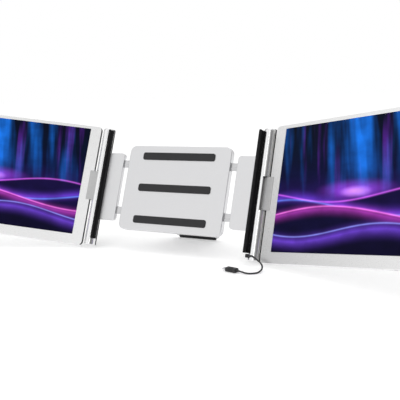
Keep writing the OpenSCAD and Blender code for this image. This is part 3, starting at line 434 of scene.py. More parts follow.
def picture_material():
    """A lit picture of the generic kind that fills a new screen: bands of light over deep blue."""
    mat = new_material("screen_picture", (0.002, 0.002, 0.003), 0.25, specular=0.03)
    tree = mat.node_tree
    nodes, links = tree.nodes, tree.links
    shader = nodes["Principled BSDF"]
    uv = nodes.new("ShaderNodeUVMap")
    uv.uv_map = "picture"
    u, v, _ = split_node(tree, uv.outputs["UV"])

    def calc(kind, a, b=None, clamp=False):
        return math_node(tree, kind, a, b, clamp)

    def glow(middle_u, middle_v, wide, tall, power):
        """A round or oval light, brightest in its middle."""
        du = calc("DIVIDE", calc("SUBTRACT", u, middle_u), wide)
        dv = calc("DIVIDE", calc("SUBTRACT", v, middle_v), tall)
        far = calc("ADD", calc("MULTIPLY", du, du), calc("MULTIPLY", dv, dv))
        return calc("POWER", calc("SUBTRACT", 1, calc("MINIMUM", far, 1)), power)

    def curtain(wide, shift, low, high):
        """Upright veils of light above a horizon: noise drawn out along v, and leaning a little."""
        lean, tall, horizon, dawn, contrast = 0.9, 0.7, 0.38, 0.3, 1.6
        drawn = nodes.new("ShaderNodeCombineXYZ")
        put(tree, drawn.inputs["X"], calc("ADD", calc("MULTIPLY", u, wide), calc("MULTIPLY", v, lean)))
        put(tree, drawn.inputs["Y"], calc("MULTIPLY", v, tall))
        put(tree, drawn.inputs["Z"], shift)
        veil = noise_node(tree, drawn.outputs["Vector"], scale=1, detail=3)
        bright = calc("DIVIDE", calc("SUBTRACT", veil, low), high - low, clamp=True)
        rise = calc("DIVIDE", calc("SUBTRACT", v, horizon), dawn, clamp=True)
        return calc("MULTIPLY", calc("POWER", bright, contrast), rise)

    def wave(height, rise, bend, phase):
        """The height of a wave's line over u."""
        swing = calc("SINE", calc("ADD", calc("MULTIPLY", u, bend), phase))
        return calc("ADD", calc("MULTIPLY", swing, rise), height)

    def ribbon(line, width, color, amount):
        """A line of light along a wave."""
        fall_off = 2.4
        far = calc("DIVIDE", calc("ABSOLUTE", calc("SUBTRACT", v, line)), width)
        near = calc("SUBTRACT", 1, far, clamp=True)
        return mix_node(tree, "ADD", calc("MULTIPLY", calc("POWER", near, fall_off), amount), picture, color)

    def hill(line, color):
        """All below a wave, in one dark colour."""
        sharpness = 60
        inside = calc("MULTIPLY", calc("SUBTRACT", line, v), sharpness, clamp=True)
        return mix_node(tree, "MIX", inside, picture, color)

    picture = ramp_node(tree, v, [
        (0, (0.008, 0.003, 0.04)), (0.25, (0.015, 0.005, 0.06)), (0.42, (0.016, 0.006, 0.09)),
        (0.6, (0.003, 0.004, 0.035)), (0.8, (0.001, 0.005, 0.022)), (1, (0.001, 0.003, 0.012)),
    ])
    for light, color in (
        (curtain(9, 1.7, 0.44, 0.68), (0.01, 0.19, 0.85)),
        (curtain(14, 6.3, 0.5, 0.74), (0.22, 0.03, 0.62)),
        (glow(0.46, 0.46, 0.26, 0.1, 2.4), (0.26, 0.04, 0.6)),
        (glow(0.46, 0.45, 0.1, 0.05, 2), (0.55, 0.25, 0.6)),
    ):
        picture = mix_node(tree, "ADD", light, picture, color)
    # The rise, bend and phase of each wave, from the far one to the near one
    far_wave, upper_wave = (0.05, 6.1, 2.6), (0.07, 5.2, 1.2)
    lower_wave, near_wave = (0.07, 4.6, 0.2), (0.05, 6.4, 3.9)
    picture = hill(wave(0.43, *far_wave), (0.008, 0.004, 0.05))
    picture = ribbon(wave(0.43, *far_wave), 0.016, (0.8, 0.14, 0.95), 0.8)
    picture = ribbon(wave(0.36, *upper_wave), 0.08, (0.14, 0.04, 0.6), 0.8)
    picture = ribbon(wave(0.34, *upper_wave), 0.02, (0.12, 0.3, 1.0), 0.7)
    picture = hill(wave(0.29, *lower_wave), (0.004, 0.003, 0.03))
    picture = ribbon(wave(0.26, *lower_wave), 0.08, (0.4, 0.04, 0.42), 0.85)
    picture = ribbon(wave(0.28, *lower_wave), 0.016, (0.95, 0.2, 0.75), 0.9)
    picture = hill(wave(0.18, *near_wave), (0.003, 0.002, 0.02))
    picture = ribbon(wave(0.13, *near_wave), 0.1, (0.17, 0.06, 0.68), 0.85)
    picture = ribbon(wave(0.17, *near_wave), 0.014, (0.3, 0.35, 1.0), 0.8)
    links.new(picture, shader.inputs["Emission Color"])
    dimmest, brightest = 0.72, 1.15
    unevenness = noise_node(tree, uv.outputs["UV"], scale=9, detail=6)
    links.new(range_node(tree, unevenness, NOISE_LOW, NOISE_HIGH, dimmest, brightest),
              shader.inputs["Emission Strength"])
    return mat


def make_materials():
    mats = {}
    for kind, (name, color, roughness, metallic, specular, *grain) in MATERIALS.items():
        mats[kind] = add_grain(new_material(name, color, roughness, metallic, specular), *grain)
    mats["picture"] = picture_material()
    return mats


MATS = make_materials()

# ---- mesh tools ----
SOFT_ANGLE = math.radians(32)
EDGE_STEPS, CORNER_STEPS = 5, 10
# How far a cutter passes the face it cuts, and when two places are one
OVER, TINY, MERGE = 1 * MM, 1e-6, 1e-7
ALONG_X = Matrix.Rotation(math.radians(90), 4, "Y")


def make_piece(name, bm, matrix, kind, body, *stands_for):
    """A mesh placed in the row frame, smooth but for its sharp edges, riding on a body."""
    moved(bm, matrix)
    if matrix.determinant() < 0:
        bmesh.ops.reverse_faces(bm, faces=bm.faces)
    for face in bm.faces:
        face.smooth = True
    for edge in bm.edges:
        edge.smooth = len(edge.link_faces) == 2 and edge.calc_face_angle() < SOFT_ANGLE
    mesh = bpy.data.meshes.new(name)
    bm.to_mesh(mesh)
    bm.free()
    mesh.materials.append(MATS[kind])
    obj = add_object(name, mesh)
    obj.modifiers.new("flat_faces", "WEIGHTED_NORMAL").keep_sharp = True
    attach(obj, body)
    if stands_for:
        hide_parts(*stands_for)
    return obj


def side_piece(side, name, bm, matrix, kind, body, *stands_for):
    """A piece whose own name, body and replaced solids all begin with its side."""
    return make_piece(f"{side}_{name}", bm, matrix, kind, f"{side}_{body}",
                      *(f"{side}_{solid}" for solid in stands_for))


def arc(cx, cy, r, start, end, steps):
    """Points round a centre from one angle to another, in degrees."""
    turns = [math.radians(start + (end - start) * i / steps) for i in range(steps + 1)]
    return [(cx + r * math.cos(a), cy + r * math.sin(a)) for a in turns]


def rounded_rect(x0, z0, x1, z1, r):
    """A function for the rings of a rounded rectangle across x and z, by inset and depth."""
    corners = ((x1 - r, z1 - r, 0), (x0 + r, z1 - r, 90), (x0 + r, z0 + r, 180), (x1 - r, z0 + r, 270))

    def ring(inset, y):
        return [(x, y, z) for cx, cz, start in corners
                for x, z in arc(cx, cz, r - inset, start, start + 90, CORNER_STEPS)]

    return ring


panel_ring = rounded_rect(HINGE_GAP, PANEL_Z0, PANEL_X1, PANEL_H / 2, PANEL_R)
picture_ring = rounded_rect(PICTURE_X0, PICTURE_Z0, PICTURE_X1, PICTURE_Z1, PICTURE_R)
mid_ring = rounded_rect(-MID_W / 2, -MID_H / 2, MID_W / 2, MID_H / 2, MID_R)


def round_edge(ring, y, towards, edge):
    """Rings that turn an outline over an edge that ends in the face at y, towards being -1 or 1."""
    turns = [math.radians(90 * i / EDGE_STEPS) for i in range(EDGE_STEPS + 1)]
    return [ring(edge * (1 - math.cos(a)), y + towards * edge * (math.sin(a) - 1)) for a in turns]


def band_faces(bm, rings, join):
    """Faces between closed rings of as many points; join the last to the first."""
    rows = [[bm.verts.new(p) for p in ring] for ring in rings]
    count = len(rows[0])
    for a, b in list(zip(rows, rows[1:])) + ([(rows[-1], rows[0])] if join else []):
        for i in range(count):
            k = (i + 1) % count
            bm.faces.new((a[i], a[k], b[k], b[i]))
    return rows


def loft(rings, join=False):
    """A solid of closed rings, either joined up or with its first and last ring filled."""
    bm = bmesh.new()
    rows = band_faces(bm, rings, join)
    if not join:
        bm.faces.new(reversed(rows[0]))
        bm.faces.new(rows[-1])
    bmesh.ops.recalc_face_normals(bm, faces=bm.faces)
    return bm


def slab(ring, y0, y1, front_edge, back_edge=0.0):
    """A solid of an outline from y0 back to y1, its edges rounded at either face."""
    front = round_edge(ring, y0, -1, front_edge)[::-1] if front_edge else [ring(0, y0)]
    back = round_edge(ring, y1, 1, back_edge) if back_edge else [ring(0, y1)]
    return loft(front + back)


def lathe(profile, steps):
    """A solid turned about z from (radius, z) points, which start and end on the axis or join up."""
    bm = bmesh.new()
    turns = [2 * math.pi * i / steps for i in range(steps)]
    rings = [[(r * math.cos(a), r * math.sin(a), z) for a in turns] for r, z in profile]
    band_faces(bm, rings, join=profile[0][0] > TINY)
    bmesh.ops.remove_doubles(bm, verts=bm.verts, dist=MERGE)
    bmesh.ops.recalc_face_normals(bm, faces=bm.faces)
    return bm


def bevel(bm, edges, width, segments=3):
    bmesh.ops.bevel(bm, geom=edges, offset=width, segments=segments, profile=0.5, affect="EDGES")
    return bm


def extrude_outline(outline, z0, z1, edge=0.0):
    """A solid of an outline in x and y, from z0 to z1, its end edges rounded by edge."""
    bm = bmesh.new()
    face = bm.faces.new([bm.verts.new((x, y, z0)) for x, y in outline])
    grown = bmesh.ops.extrude_face_region(bm, geom=[face])
    top = [v for v in grown["geom"] if isinstance(v, bmesh.types.BMVert)]
    bmesh.ops.translate(bm, verts=top, vec=(0, 0, z1 - z0))
    bmesh.ops.recalc_face_normals(bm, faces=bm.faces)
    if edge:
        bevel(bm, [e for e in bm.edges if abs(e.verts[0].co.z - e.verts[1].co.z) < TINY], edge)
    return bm


def box_mesh(low, high):
    """A box between two opposite corners."""
    bm = bmesh.new()
    bmesh.ops.create_cube(bm, size=1)
    for v in bm.verts:
        v.co = Vector([a + (b - a) * (c + 0.5) for a, b, c in zip(low, high, v.co)])
    return bm


def soft_box(low, high, edge, segments=3):
    bm = box_mesh(low, high)
    return bevel(bm, list(bm.edges), edge, segments)


def rod_mesh(start, end, r, steps=48):
    """A cylinder between two points."""
    start, end = Vector(start), Vector(end)
    way = end - start
    bm = bmesh.new()
    bmesh.ops.create_cone(bm, cap_ends=True, segments=steps, radius1=r, radius2=r, depth=way.length)
    turn = way.to_track_quat("Z", "Y").to_matrix().to_4x4()
    return moved(bm, Matrix.Translation((start + end) / 2) @ turn)


def moved(bm, matrix):
    bmesh.ops.transform(bm, matrix=matrix, verts=bm.verts)
    return bm


def join_meshes(*parts):
    """One mesh of several, each left a closed solid."""
    whole = bmesh.new()
    for bm in parts:
        mesh = bpy.data.meshes.new("scratch")
        bm.to_mesh(mesh)
        bm.free()
        whole.from_mesh(mesh)
        bpy.data.meshes.remove(mesh)
    return whole


def carve(bm, cutters):
    """The mesh with the cutter meshes taken out of it."""
    obj = temporary(bm)
    tools = [temporary(cutter) for cutter in cutters]
    for tool in tools:
        cut = obj.modifiers.new("cut", "BOOLEAN")
        cut.operation = "DIFFERENCE"
        cut.solver = "EXACT"
        cut.object = tool
    result = bmesh.new()
    result.from_mesh(obj.evaluated_get(bpy.context.evaluated_depsgraph_get()).to_mesh())
    for used in [obj] + tools:
        bpy.data.objects.remove(used)
    bmesh.ops.remove_doubles(result, verts=result.verts, dist=MERGE)
    return result


def temporary(bm):
    mesh = bpy.data.meshes.new("scratch")
    bm.to_mesh(mesh)
    bm.free()
    return add_object("scratch", mesh)


def screws_facing_back(places, y, head_r, head_h, shank_r, shank_len):
    """Screws with the tops of their heads at y, each head with a hexagon socket."""
    rim, socket_r, socket_h = 0.15 * MM, head_r * 0.5, head_h * 1.2
    profile = [(0, -head_h - shank_len), (shank_r, -head_h - shank_len), (shank_r, -head_h),
               (head_r, -head_h), (head_r, -rim), (head_r - rim, 0), (0, 0)]
    screws = []
    for x, z in places:
        socket = bmesh.new()
        bmesh.ops.create_cone(socket, cap_ends=True, segments=6, radius1=socket_r, radius2=socket_r,
                              depth=socket_h)
        screws.append(moved(carve(lathe(profile, steps=40), [socket]), facing_back(x, y, z)))
    return join_meshes(*screws)


def head_sinks(places, y, depth, r):
    """Cutters that sink screw heads into a rear face at y."""
    return [rod_mesh((x, y - depth, z), (x, y + OVER, z), r) for x, z in places]


def facing_back(x, y, z):
    """A place on a rear face, its z axis towards +y."""
    return Matrix.Translation((x, y, z)) @ Matrix.Rotation(math.radians(-90), 4, "X")


# ---- cable, gland and plug ----
def make_cable(plug_body):
    points = cable_points()
    curve = bpy.data.curves.new("usb_cable", "CURVE")
    curve.dimensions = "3D"
    curve.bevel_depth = CABLE_D / 2
    curve.bevel_resolution = 5
    curve.use_fill_caps = True
    spline = curve.splines.new("BEZIER")
    spline.bezier_points.add(len(points) - 1)
    for knot, p in zip(spline.bezier_points, points):
        knot.co = p
        knot.handle_left_type = knot.handle_right_type = "AUTO"
    spline.resolution_u = 8
    cable = add_object("usb_cable", curve)
    curve.materials.append(MATS["cable"])
    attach(cable, "right_arm")
    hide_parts("data_cable")
    length = sum((b - a).length for a, b in zip(points, points[1:]))
    tuple(points[0])


def make_gland():
    edge, top = 0.5 * MM, GLAND_H / 2
    barrel = lathe([(0, -top), (GLAND_R - edge, -top), (GLAND_R, edge - top),
                    (GLAND_R, top - edge), (GLAND_R - edge, top), (0, top)], steps=48)
    ribs, groove, plain, end_r = 5, 0.3 * MM, 2.6 * MM, CABLE_D / 2 + 0.2 * MM
    step = (SLEEVE_LEN - plain) / ribs
    profile = [(0, 0)]
    for i in range(ribs):
        r, z = SLEEVE_R - (SLEEVE_R - end_r) * i / (ribs - 1), plain + step * i
        profile += [(r, z if i else 0), (r, z + step * 0.6), (r - groove, z + step * 0.7),
                    (r - groove, z + step * 0.98)]
    sleeve = moved(lathe(profile + [(0, SLEEVE_LEN)], steps=40), ALONG_X)
    make_piece("cable_strain_relief", join_meshes(barrel, sleeve), gland_matrix(), "cable", "right_arm",
               "cable_gland")


def make_plug():
    edge, grooves, first, pitch = 0.9 * MM, 6, 5 * MM, 1.6 * MM
    # Depth of a groove and the place along the plug
    groove = ((0, 0), (0.35 * MM, 0.3 * MM), (0.35 * MM, 0.8 * MM), (0, 1.1 * MM))
    ring = rounded_rect(-PLUG_W / 2, -PLUG_H / 2, PLUG_W / 2, PLUG_H / 2, PLUG_R)
    rings = round_edge(ring, PLUG_NECK, -1, edge)[::-1]
    for i in range(grooves):
        rings += [ring(depth, PLUG_NECK + first + pitch * i + along) for depth, along in groove]
    rings += round_edge(ring, PLUG_NECK + PLUG_LEN, 1, edge)
    swap_xy = Matrix(((0, 1, 0, 0), (1, 0, 0, 0), (0, 0, 1, 0), (0, 0, 0, 1)))
    body = moved(loft(rings), swap_xy)
    bmesh.ops.reverse_faces(body, faces=body.faces)
    neck_end, neck_r = PLUG_NECK + 0.2 * MM, CABLE_D / 2 + 0.3 * MM
    neck = lathe([(0, 0), (neck_r, 0), (neck_r + 0.05 * MM, 1 * MM), (2.1 * MM, 3 * MM),
                  (2.5 * MM, neck_end), (0, neck_end)], steps=40)
    return make_piece("plug_body", join_meshes(body, moved(neck, ALONG_X)), plug_matrix(), "cable",
                      "right_arm", "plug_grip")


# ---- screens ----
def paint_hinge_wall_light_and_shade(obj, side):
    """Painted light and shade on the housing's wall at the hinge, round the corners too: painted shade, a
    dark material, on the left, and painted light, a pale one, on the right.
    """
    corner_reach = 0.4
    wall = -screen_matrix(side).to_3x3().col[0].normalized()
    # Painted shade on the left wall, painted light on the right one
    obj.data.materials.append(MATS["edge" if side == "left" else "pale"])
    for face in obj.data.polygons:
        if wall.dot(face.normal) > corner_reach:
            face.material_index = 1


def make_bezel(side):
    lip, slope = 0.1 * MM, 0.35 * MM
    rings = [panel_ring(SEAM, SEAM_Y), panel_ring(0, SEAM_Y - SEAM)]
    rings += round_edge(panel_ring, FACE_Y, -1, BEZEL_EDGE)
    rings += [picture_ring(-lip - slope, FACE_Y), picture_ring(-lip, FACE_Y + slope),
              picture_ring(-lip, DISPLAY_Y), panel_ring(BEZEL_WALL, DISPLAY_Y),
              panel_ring(BEZEL_WALL, SEAM_Y)]
    button_w, button_t = BUTTON_W / 2 + BUTTON_GAP, BUTTON_T / 2 + BUTTON_GAP
    lug_t, lug_h = LUG_T / 2 + LUG_GAP, LUG_H / 2 + LUG_GAP
    mouth_w, mouth_r = (SOCKET_W - SOCKET_T) / 2, SOCKET_T / 2 + SOCKET_GAP
    mouth = arc(mouth_w, 0, mouth_r, -90, 90, steps=12) + arc(-mouth_w, 0, mouth_r, 90, 270, steps=12)
    socket = extrude_outline(mouth, -2 * OVER, BEZEL_CUT + OVER)
    bm = carve(loft(rings, join=True), [
        box_mesh((BUTTON_X - button_w, -button_t, PANEL_Z0 - OVER),
                 (BUTTON_X + button_w, button_t, PANEL_Z0 + BEZEL_CUT)),
        moved(socket, Matrix.Translation((SOCKET_X, 0, PANEL_Z0))),
        box_mesh((HINGE_GAP - OVER, -lug_t, -lug_h), (HINGE_GAP + BEZEL_CUT, lug_t, lug_h)),
    ])
    bezel = side_piece(side, "bezel_frame", bm, screen_matrix(side), "bezel", "screen", "bezel")
    # The frame's hinge wall gets painted shade on the left and painted light on the right
    paint_hinge_wall_light_and_shade(bezel, side)


def make_back_cover(side):
    rings = [panel_ring(BACK_RIM, SEAM_Y + BACK_HOLLOW), panel_ring(BACK_RIM, SEAM_Y),
             panel_ring(SEAM, SEAM_Y), panel_ring(0, SEAM_Y + SEAM)]
    sinks = head_sinks(COVER_SCREWS, BACK_Y, SCREW_HEAD_H + SCREW_SUNK, SCREW_HEAD_R + SCREW_GAP)
    bm = carve(loft(rings + round_edge(panel_ring, BACK_Y, 1, BACK_EDGE)), sinks)
    shell = side_piece(side, "rear_shell", bm, screen_matrix(side), "satin", "screen", "back_cover")
    # The shell's hinge wall gets painted shade on the left and painted light on the right
    paint_hinge_wall_light_and_shade(shell, side)
    screws = screws_facing_back(COVER_SCREWS, BACK_Y - SCREW_SUNK, SCREW_HEAD_R, SCREW_HEAD_H, SCREW_R,
                                SCREW_LEN)
    side_piece(side, "housing_screws", screws, screen_matrix(side), "screw", "screen", "cover_screws")


def make_rear_pads(side):
    wall, dome_h, round_r, steps = 0.45 * MM, 0.4 * MM, 1.6 * MM, 8
    dome = [(0, 0), (REAR_PAD_R, 0), (REAR_PAD_R, wall)]
    for i in range(1, steps + 1):
        a = math.radians(90 * i / steps)
        dome.append((REAR_PAD_R - round_r * (1 - math.cos(a)), wall + dome_h * math.sin(a)))
    dome.append((0, REAR_PAD_T))
    pads = [moved(lathe(dome, steps=56), facing_back(x, BACK_Y, z))
            for x in (HINGE_GAP + REAR_PAD_INSET, PANEL_X1 - REAR_PAD_INSET)
            for z in (PANEL_Z0 + REAR_PAD_INSET, PANEL_H / 2 - REAR_PAD_INSET)]
    side_piece(side, "rubber_feet", join_meshes(*pads), screen_matrix(side), "rubber", "screen", "rear_pads")


def make_display(side):
    low = (PICTURE_X0 - DISPLAY_LAP, DISPLAY_Y, PICTURE_Z0 - DISPLAY_LAP)
    high = (PICTURE_X1 + DISPLAY_LAP, DISPLAY_Y + DISPLAY_T, PICTURE_Z1 + DISPLAY_LAP)
    bm = soft_box(low, high, DISPLAY_EDGE, segments=2)
    layer = bm.loops.layers.uv.new("picture")
    for face in bm.faces:
        for loop in face.loops:
            u = (loop.vert.co.x - PICTURE_X0) / (PICTURE_X1 - PICTURE_X0)
            v = (loop.vert.co.z - PICTURE_Z0) / (PICTURE_Z1 - PICTURE_Z0)
            loop[layer].uv = (1 - u if side == "left" else u, v)
    side_piece(side, "lit_display", bm, screen_matrix(side), "picture", "screen", "display")


def make_edge_parts(side):
    """The button, and the plastic tongue in the USB socket."""
    def edge_box(x, width, thick, z0, z1, edge, segments):
        """A box in the chin's lower wall, its heights from the wall's outside."""
        return soft_box((x - width / 2, -thick / 2, PANEL_Z0 + z0),
                        (x + width / 2, thick / 2, PANEL_Z0 + z1), edge, segments)

    cap = edge_box(BUTTON_X, BUTTON_W, BUTTON_T, -BUTTON_OUT, BUTTON_IN, BUTTON_EDGE, segments=4)
    flange = edge_box(BUTTON_X, FLANGE_W, FLANGE_T, FLANGE_Z0, FLANGE_Z1, FLANGE_EDGE, segments=1)
    side_piece(side, "power_key", join_meshes(cap, flange), screen_matrix(side), "satin", "button_key",
               "button")
    tongue = edge_box(SOCKET_X, CONTACT_W, CONTACT_T, CONTACT_Z0, CONTACT_Z1, CONTACT_EDGE, segments=1)
    side_piece(side, "socket_tongue", tongue, screen_matrix(side), "grip", "screen")


# ---- hinges ----
def make_knuckle(side):
    start = math.degrees(math.asin(LEAF_BACK / BARREL_R))
    outline = arc(0, 0, BARREL_R, start, 270, steps=48)
    outline += arc(KNUCKLE_X1 - KNUCKLE_R, KNUCKLE_R - BARREL_R, KNUCKLE_R, -90, 0, steps=8)
    leaf_x, leaf_y = HINGE_GAP - LIFT, FACE_Y - LIFT
    outline += [(KNUCKLE_X1, leaf_y), (leaf_x, leaf_y), (leaf_x, LEAF_BACK)]
    cutters = [rod_mesh((0, 0, -KNUCKLE_H), (0, 0, KNUCKLE_H), PIN_R + PIN_GAP)]
    if side == "left":
        z = -KNUCKLE_H / 2 + MARK_UP
        cutters += [rod_mesh((x, -BARREL_R - OVER, z), (x, -BARREL_R + MARK_DEPTH, z), MARK_R)
                    for x in MARK_XS]
    barrel = carve(extrude_outline(outline, -KNUCKLE_H / 2, KNUCKLE_H / 2, KNUCKLE_EDGE), cutters)
    lug = soft_box((HINGE_GAP - LUG_LAP, -LUG_T / 2, -LUG_H / 2),
                   (HINGE_GAP + LUG_LEN, LUG_T / 2, LUG_H / 2), LUG_EDGE, segments=1)
    side_piece(side, "hinge_knuckle", join_meshes(barrel, lug), screen_matrix(side), "knuckle", "screen",
               "knuckle")


# ---- columns and lid grips ----
def window_boxes():
    """Cutters for the opening that the knuckle turns in, before and behind the column's middle."""
    half, wide, lap = WINDOW_H / 2, 2 * COL_R, 0.01 * MM
    return [box_mesh((WINDOW_FRONT, -wide, -half), (wide, lap, half)),
            box_mesh((WINDOW_BACK, 0, -half), (wide, wide, half))]


def make_column(side):
    place, top = column_matrix(side), COL_H / 2
    z0, z1 = FOOT_CAP_H - top, top - TOP_CAP_H
    inner, seam_r = COL_R - COL_WALL, COL_R - COL_SEAM
    tube = lathe([(inner, z0), (seam_r, z0), (COL_R, z0 + COL_SEAM), (COL_R, z1 - COL_SEAM), (seam_r, z1),
                  (inner, z1)], COL_STEPS)
    side_piece(side, "column_tube", carve(tube, window_boxes()), place, "column", "arm", "column")
    round_top = arc(COL_R - TOP_CAP_R, top - TOP_CAP_R, TOP_CAP_R, 0, 90, steps=12)
    cap = [(0, z1), (seam_r, z1), (COL_R, z1 + COL_SEAM)] + round_top + [(0, top)]
    side_piece(side, "column_top", lathe(cap, COL_STEPS), place, "column", "arm", "top_cap")
    round_foot = arc(COL_R - FOOT_CAP_R, FOOT_CAP_R - top, FOOT_CAP_R, -90, 0, steps=12)
    cap = [(0, -top)] + round_foot + [(COL_R, z0 - COL_SEAM), (seam_r, z0), (0, z0)]
    side_piece(side, "column_foot", lathe(cap, COL_STEPS), place, "column", "arm", "foot_cap")


def make_painted_shade_sheet(side):
    """A dark sheet round the back of the column, up to the top cap's rounding: painted shade, standing in
    for the shaded gap and dark reflection along the column's edge.
    """
    def wall(gap):
        reach = TOP_CAP_R + gap
        end = math.degrees(math.asin(TOP_CAP_R / reach))
        return arc(COL_R - TOP_CAP_R, COL_H / 2 - TOP_CAP_R, reach, 0, end, steps=8)

    foot, wide = FOOT_CAP_R - COL_H / 2, 3 * COL_R
    inner, outer = SHADE_SHEET_GAP, SHADE_SHEET_GAP + SHADE_SHEET_T
    profile = [(COL_R + inner, foot), (COL_R + outer, foot)] + wall(outer) + wall(inner)[::-1]
    front = moved(box_mesh((-wide, -wide, -COL_H), (wide, 0, COL_H)), Matrix.Rotation(-SHADE_SHEET_TURN, 4, "Z"))
    cover = carve(lathe(profile, COL_STEPS), [front] + window_boxes())
    # Its dark material is painted shade: a sheet that gives the dark line along the column's edge
    side_piece(side, "column_painted_shade_sheet", cover, column_matrix(side), "grip", "arm", "column_back")


def make_grip(side):
    chamfer, liner_y = 0.3 * MM, -SLOT_W - LINER_T
    outline = [(FRONT_MOUTH_X + chamfer, GRIP_FRONT_Y)]
    outline += arc(GRIP_X1 - GRIP_R, GRIP_FRONT_Y + GRIP_R, GRIP_R, -90, 0, steps=6)
    outline += [(GRIP_X1, LINER_T), (SEAT_X1, LINER_T), (SEAT_X1, GRIP_SEAT_Y), (BACK_MOUTH_X, GRIP_SEAT_Y),
                (BACK_MOUTH_X, LINER_T), (WEB_X, LINER_T), (WEB_X, liner_y), (FRONT_MOUTH_X, liner_y),
                (FRONT_MOUTH_X, GRIP_FRONT_Y + chamfer)]
    channel = extrude_outline(outline, GRIP_Z0, GRIP_Z1, GRIP_EDGE)
    side_piece(side, "lid_channel", channel, grip_matrix(side), "grip", "arm", "grip")
    rib, ribs, first, groove = 0.3 * MM, 9, 0.4 * MM, 0.18 * MM
    outline = [(FRONT_MOUTH_X, liner_y), (WEB_X, liner_y), (WEB_X, LINER_T), (BACK_MOUTH_X, LINER_T),
               (BACK_MOUTH_X, 0)]
    for i in range(ribs):
        x = BACK_MOUTH_X + first + i * 2 * rib
        outline += [(x, 0), (x, groove), (x + rib, groove), (x + rib, 0)]
    outline += [(LINER_X, 0), (LINER_X, -SLOT_W), (FRONT_MOUTH_X, -SLOT_W)]
    lining = extrude_outline(outline, GRIP_Z0, GRIP_Z1)
    side_piece(side, "channel_lining", lining, grip_matrix(side), "rubber", "arm", "grip_liner")


# ---- arms and rails ----
def rail_span(x0, x1, z, gap=0.0):
    """Two opposite corners of a length of rail, with a gap round it."""
    y, height = RAIL_T / 2 + gap, RAIL_H / 2 + gap
    return (x0, RAIL_Y - y, z - height), (x1, RAIL_Y + y, z + height)


def make_arm(side):
    edge, bore_gap, rail_gap = 0.8 * MM, 0.02 * MM, 0.05 * MM
    cutters = [rod_mesh((COL_X, COL_Y, -ARM_H), (COL_X, COL_Y, ARM_H), COL_R - bore_gap, steps=96)]
    for z in RAIL_ZS:
        cutters.append(box_mesh(*rail_span(ARM_X0 - OVER, RAIL_X1, z, rail_gap)))
        cutters += head_sinks([(x, z) for x in RAIL_HOLES], ARM_Y1, RAIL_HEAD_H, RAIL_HEAD_R + HEAD_GAP)
    ring = rounded_rect(ARM_X0, -ARM_H / 2, COL_X, ARM_H / 2, ARM_R)
    plate = carve(slab(ring, ARM_Y0, ARM_Y1, edge, edge), cutters)
    side_piece(side, "slide_plate", plate, side_matrix(side), "satin", "arm", "arm_plate")
    bars = [soft_box(*rail_span(RAIL_X0, RAIL_X1, z), RAIL_EDGE) for z in RAIL_ZS]
    bars += [soft_box((RAIL_X0, RAIL_Y - RAIL_STOP_T / 2, z - RAIL_H / 2),
                      (RAIL_X0 + RAIL_STOP, RAIL_Y + RAIL_STOP_T / 2, z + RAIL_H / 2), RAIL_EDGE)
             for z in RAIL_ZS]
    side_piece(side, "slide_rails", join_meshes(*bars), side_matrix(side), "steel", "arm", "rails")


# ---- middle housing ----
def make_middle():
    slot_reach, slot_gap = 3 * MM, 0.3 * MM
    slots = [box_mesh(*rail_span(end - slot_reach, end + slot_reach, z, slot_gap))
             for end in (-MID_W / 2, MID_W / 2) for z in RAIL_ZS]
    rings = [mid_ring(MID_WALL, MID_Y0 + MID_WALL), mid_ring(MID_WALL, MID_Y1), mid_ring(MID_SEAM, MID_Y1),
             mid_ring(0, MID_Y1 - MID_SEAM)] + round_edge(mid_ring, MID_Y0, -1, MID_EDGE)
    front = carve(loft(rings), slots)
    make_piece("housing_front", front, lid_matrix(), "satin", "middle", "mid_front_cover")
    back = carve(slab(mid_ring, MID_Y1, MID_Y2, MID_SEAM, MID_BACK_EDGE),
                 head_sinks(MID_SCREWS, MID_Y2, MID_HEAD_H, MID_HEAD_R + HEAD_GAP))
    make_piece("housing_back", back, lid_matrix(), "satin", "middle", "mid_back_cover")
    screws = screws_facing_back(MID_SCREWS, MID_Y2, MID_HEAD_R, MID_HEAD_H, MID_SCREW_R, MID_SCREW_LEN)
    make_piece("housing_screws", screws, lid_matrix(), "screw", "middle", "mid_screws")
    pads = [slab(rounded_rect(-PAD_W / 2, row - PAD_H / 2, PAD_W / 2, row + PAD_H / 2, PAD_R), 0, MID_Y0,
                 PAD_EDGE) for row in PAD_ROWS]
    make_piece("lid_rubber_strips", join_meshes(*pads), lid_matrix(), "strip", "middle", "lid_pads")


# ---- stand ----
def make_stand_base():
    ring = rounded_rect(-BRACKET_W / 2, STAND_Z - BRACKET_H / 2, BRACKET_W / 2, STAND_Z + BRACKET_H / 2,
                        BRACKET_R)
    parts = [slab(ring, MID_Y2, MID_Y2 + BRACKET_T, 0, BRACKET_EDGE)]
    ear = arc(STAND_Y, STAND_Z, EAR_R, -90, 90, steps=24)
    ear += [(MID_Y2, STAND_Z + EAR_R), (MID_Y2, STAND_Z - EAR_R)]
    across = Matrix(((0, 0, 1, 0), (1, 0, 0, 0), (0, 1, 0, 0), (0, 0, 0, 1)))
    inside = STAND_BARREL_W / 2 + EAR_GAP
    parts += [moved(extrude_outline(ear, x, x + EAR_T, EAR_EDGE), across)
              for x in (-inside - EAR_T, inside)]
    make_piece("stand_hinge_base", join_meshes(*parts), lid_matrix(), "satin", "middle", "stand_bracket")


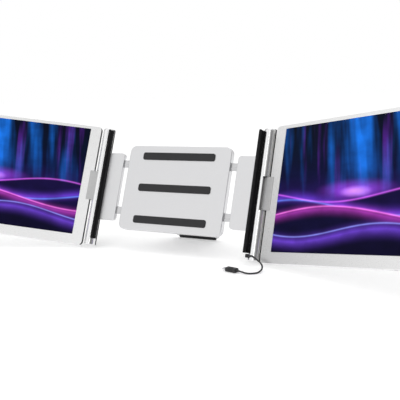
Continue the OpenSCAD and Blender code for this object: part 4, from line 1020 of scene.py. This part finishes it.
def make_stand():
    ring = rounded_rect(-STAND_W / 2, -STAND_LEN, STAND_W / 2, STAND_BARREL_R, STAND_R)
    above_axis = box_mesh((-STAND_W, -STAND_W, 0), (STAND_W, STAND_W, STAND_W))
    plate = carve(slab(ring, -STAND_T / 2, STAND_T / 2, STAND_EDGE, STAND_EDGE), [above_axis])
    end = STAND_BARREL_W / 2
    barrel = rod_mesh((-end, 0, 0), (end, 0, 0), STAND_BARREL_R, steps=64)
    rims = [e for e in barrel.edges if all(abs(abs(v.co.x) - end) < TINY for v in e.verts)]
    bevel(barrel, rims, STAND_BARREL_EDGE)
    make_piece("stand_leaf", join_meshes(plate, barrel), stand_matrix(), "satin", "stand", "stand_plate")
    grooves, plain, end = 13, 4 * MM, FOOT_W / 2
    # Depth of a groove and the place along the foot
    groove = ((0, 0), (0.4 * MM, 0.5 * MM), (0.4 * MM, 1 * MM), (0, 1.5 * MM))
    profile = [(0, -end), (FOOT_R - FOOT_EDGE, -end), (FOOT_R, FOOT_EDGE - end)]
    for i in range(grooves):
        z = plain - end + i * (FOOT_W - 2 * plain) / grooves
        profile += [(FOOT_R - depth, z + along) for depth, along in groove]
    profile += [(FOOT_R, end - FOOT_EDGE), (FOOT_R - FOOT_EDGE, end), (0, end)]
    foot = moved(lathe(profile, steps=48), Matrix.Translation((0, 0, -STAND_LEN)) @ ALONG_X)
    make_piece("stand_rubber_foot", foot, stand_matrix(), "rubber", "stand", "stand_foot")


# ---- the solids that stay ----
SINGLE_SOLIDS = {"pale": ("rail_guides",), "steel": ("stand_pin", "plug_shell")}
SIDE_SOLIDS = {
    "steel": ("hinge_blocks", "hinge_pin", "usb_socket"), "pale": ("backlight",), "board": ("driver_board",),
    "screw": ("arm_screws", "washers", "knuckle_screws"),
}


def dress_solids():
    """The CAD solids that no piece replaces get their material."""
    dressed = [(kind, name) for kind, names in SINGLE_SOLIDS.items() for name in names]
    dressed += [(kind, f"{side}_{name}") for side in SIDES for kind, names in SIDE_SOLIDS.items()
                for name in names]
    for kind, name in dressed:
        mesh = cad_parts[name].data
        mesh.materials.clear()
        mesh.materials.append(MATS[kind])


make_camera()
light_scene()
make_floor()
make_cable(make_plug())
for side in SIDES:
    make_bezel(side)
    make_back_cover(side)
    make_rear_pads(side)
    make_display(side)
    make_edge_parts(side)
    make_knuckle(side)
    make_column(side)
    make_painted_shade_sheet(side)
    make_grip(side)
    make_arm(side)
make_middle()
make_stand_base()
make_stand()
make_gland()
dress_solids()
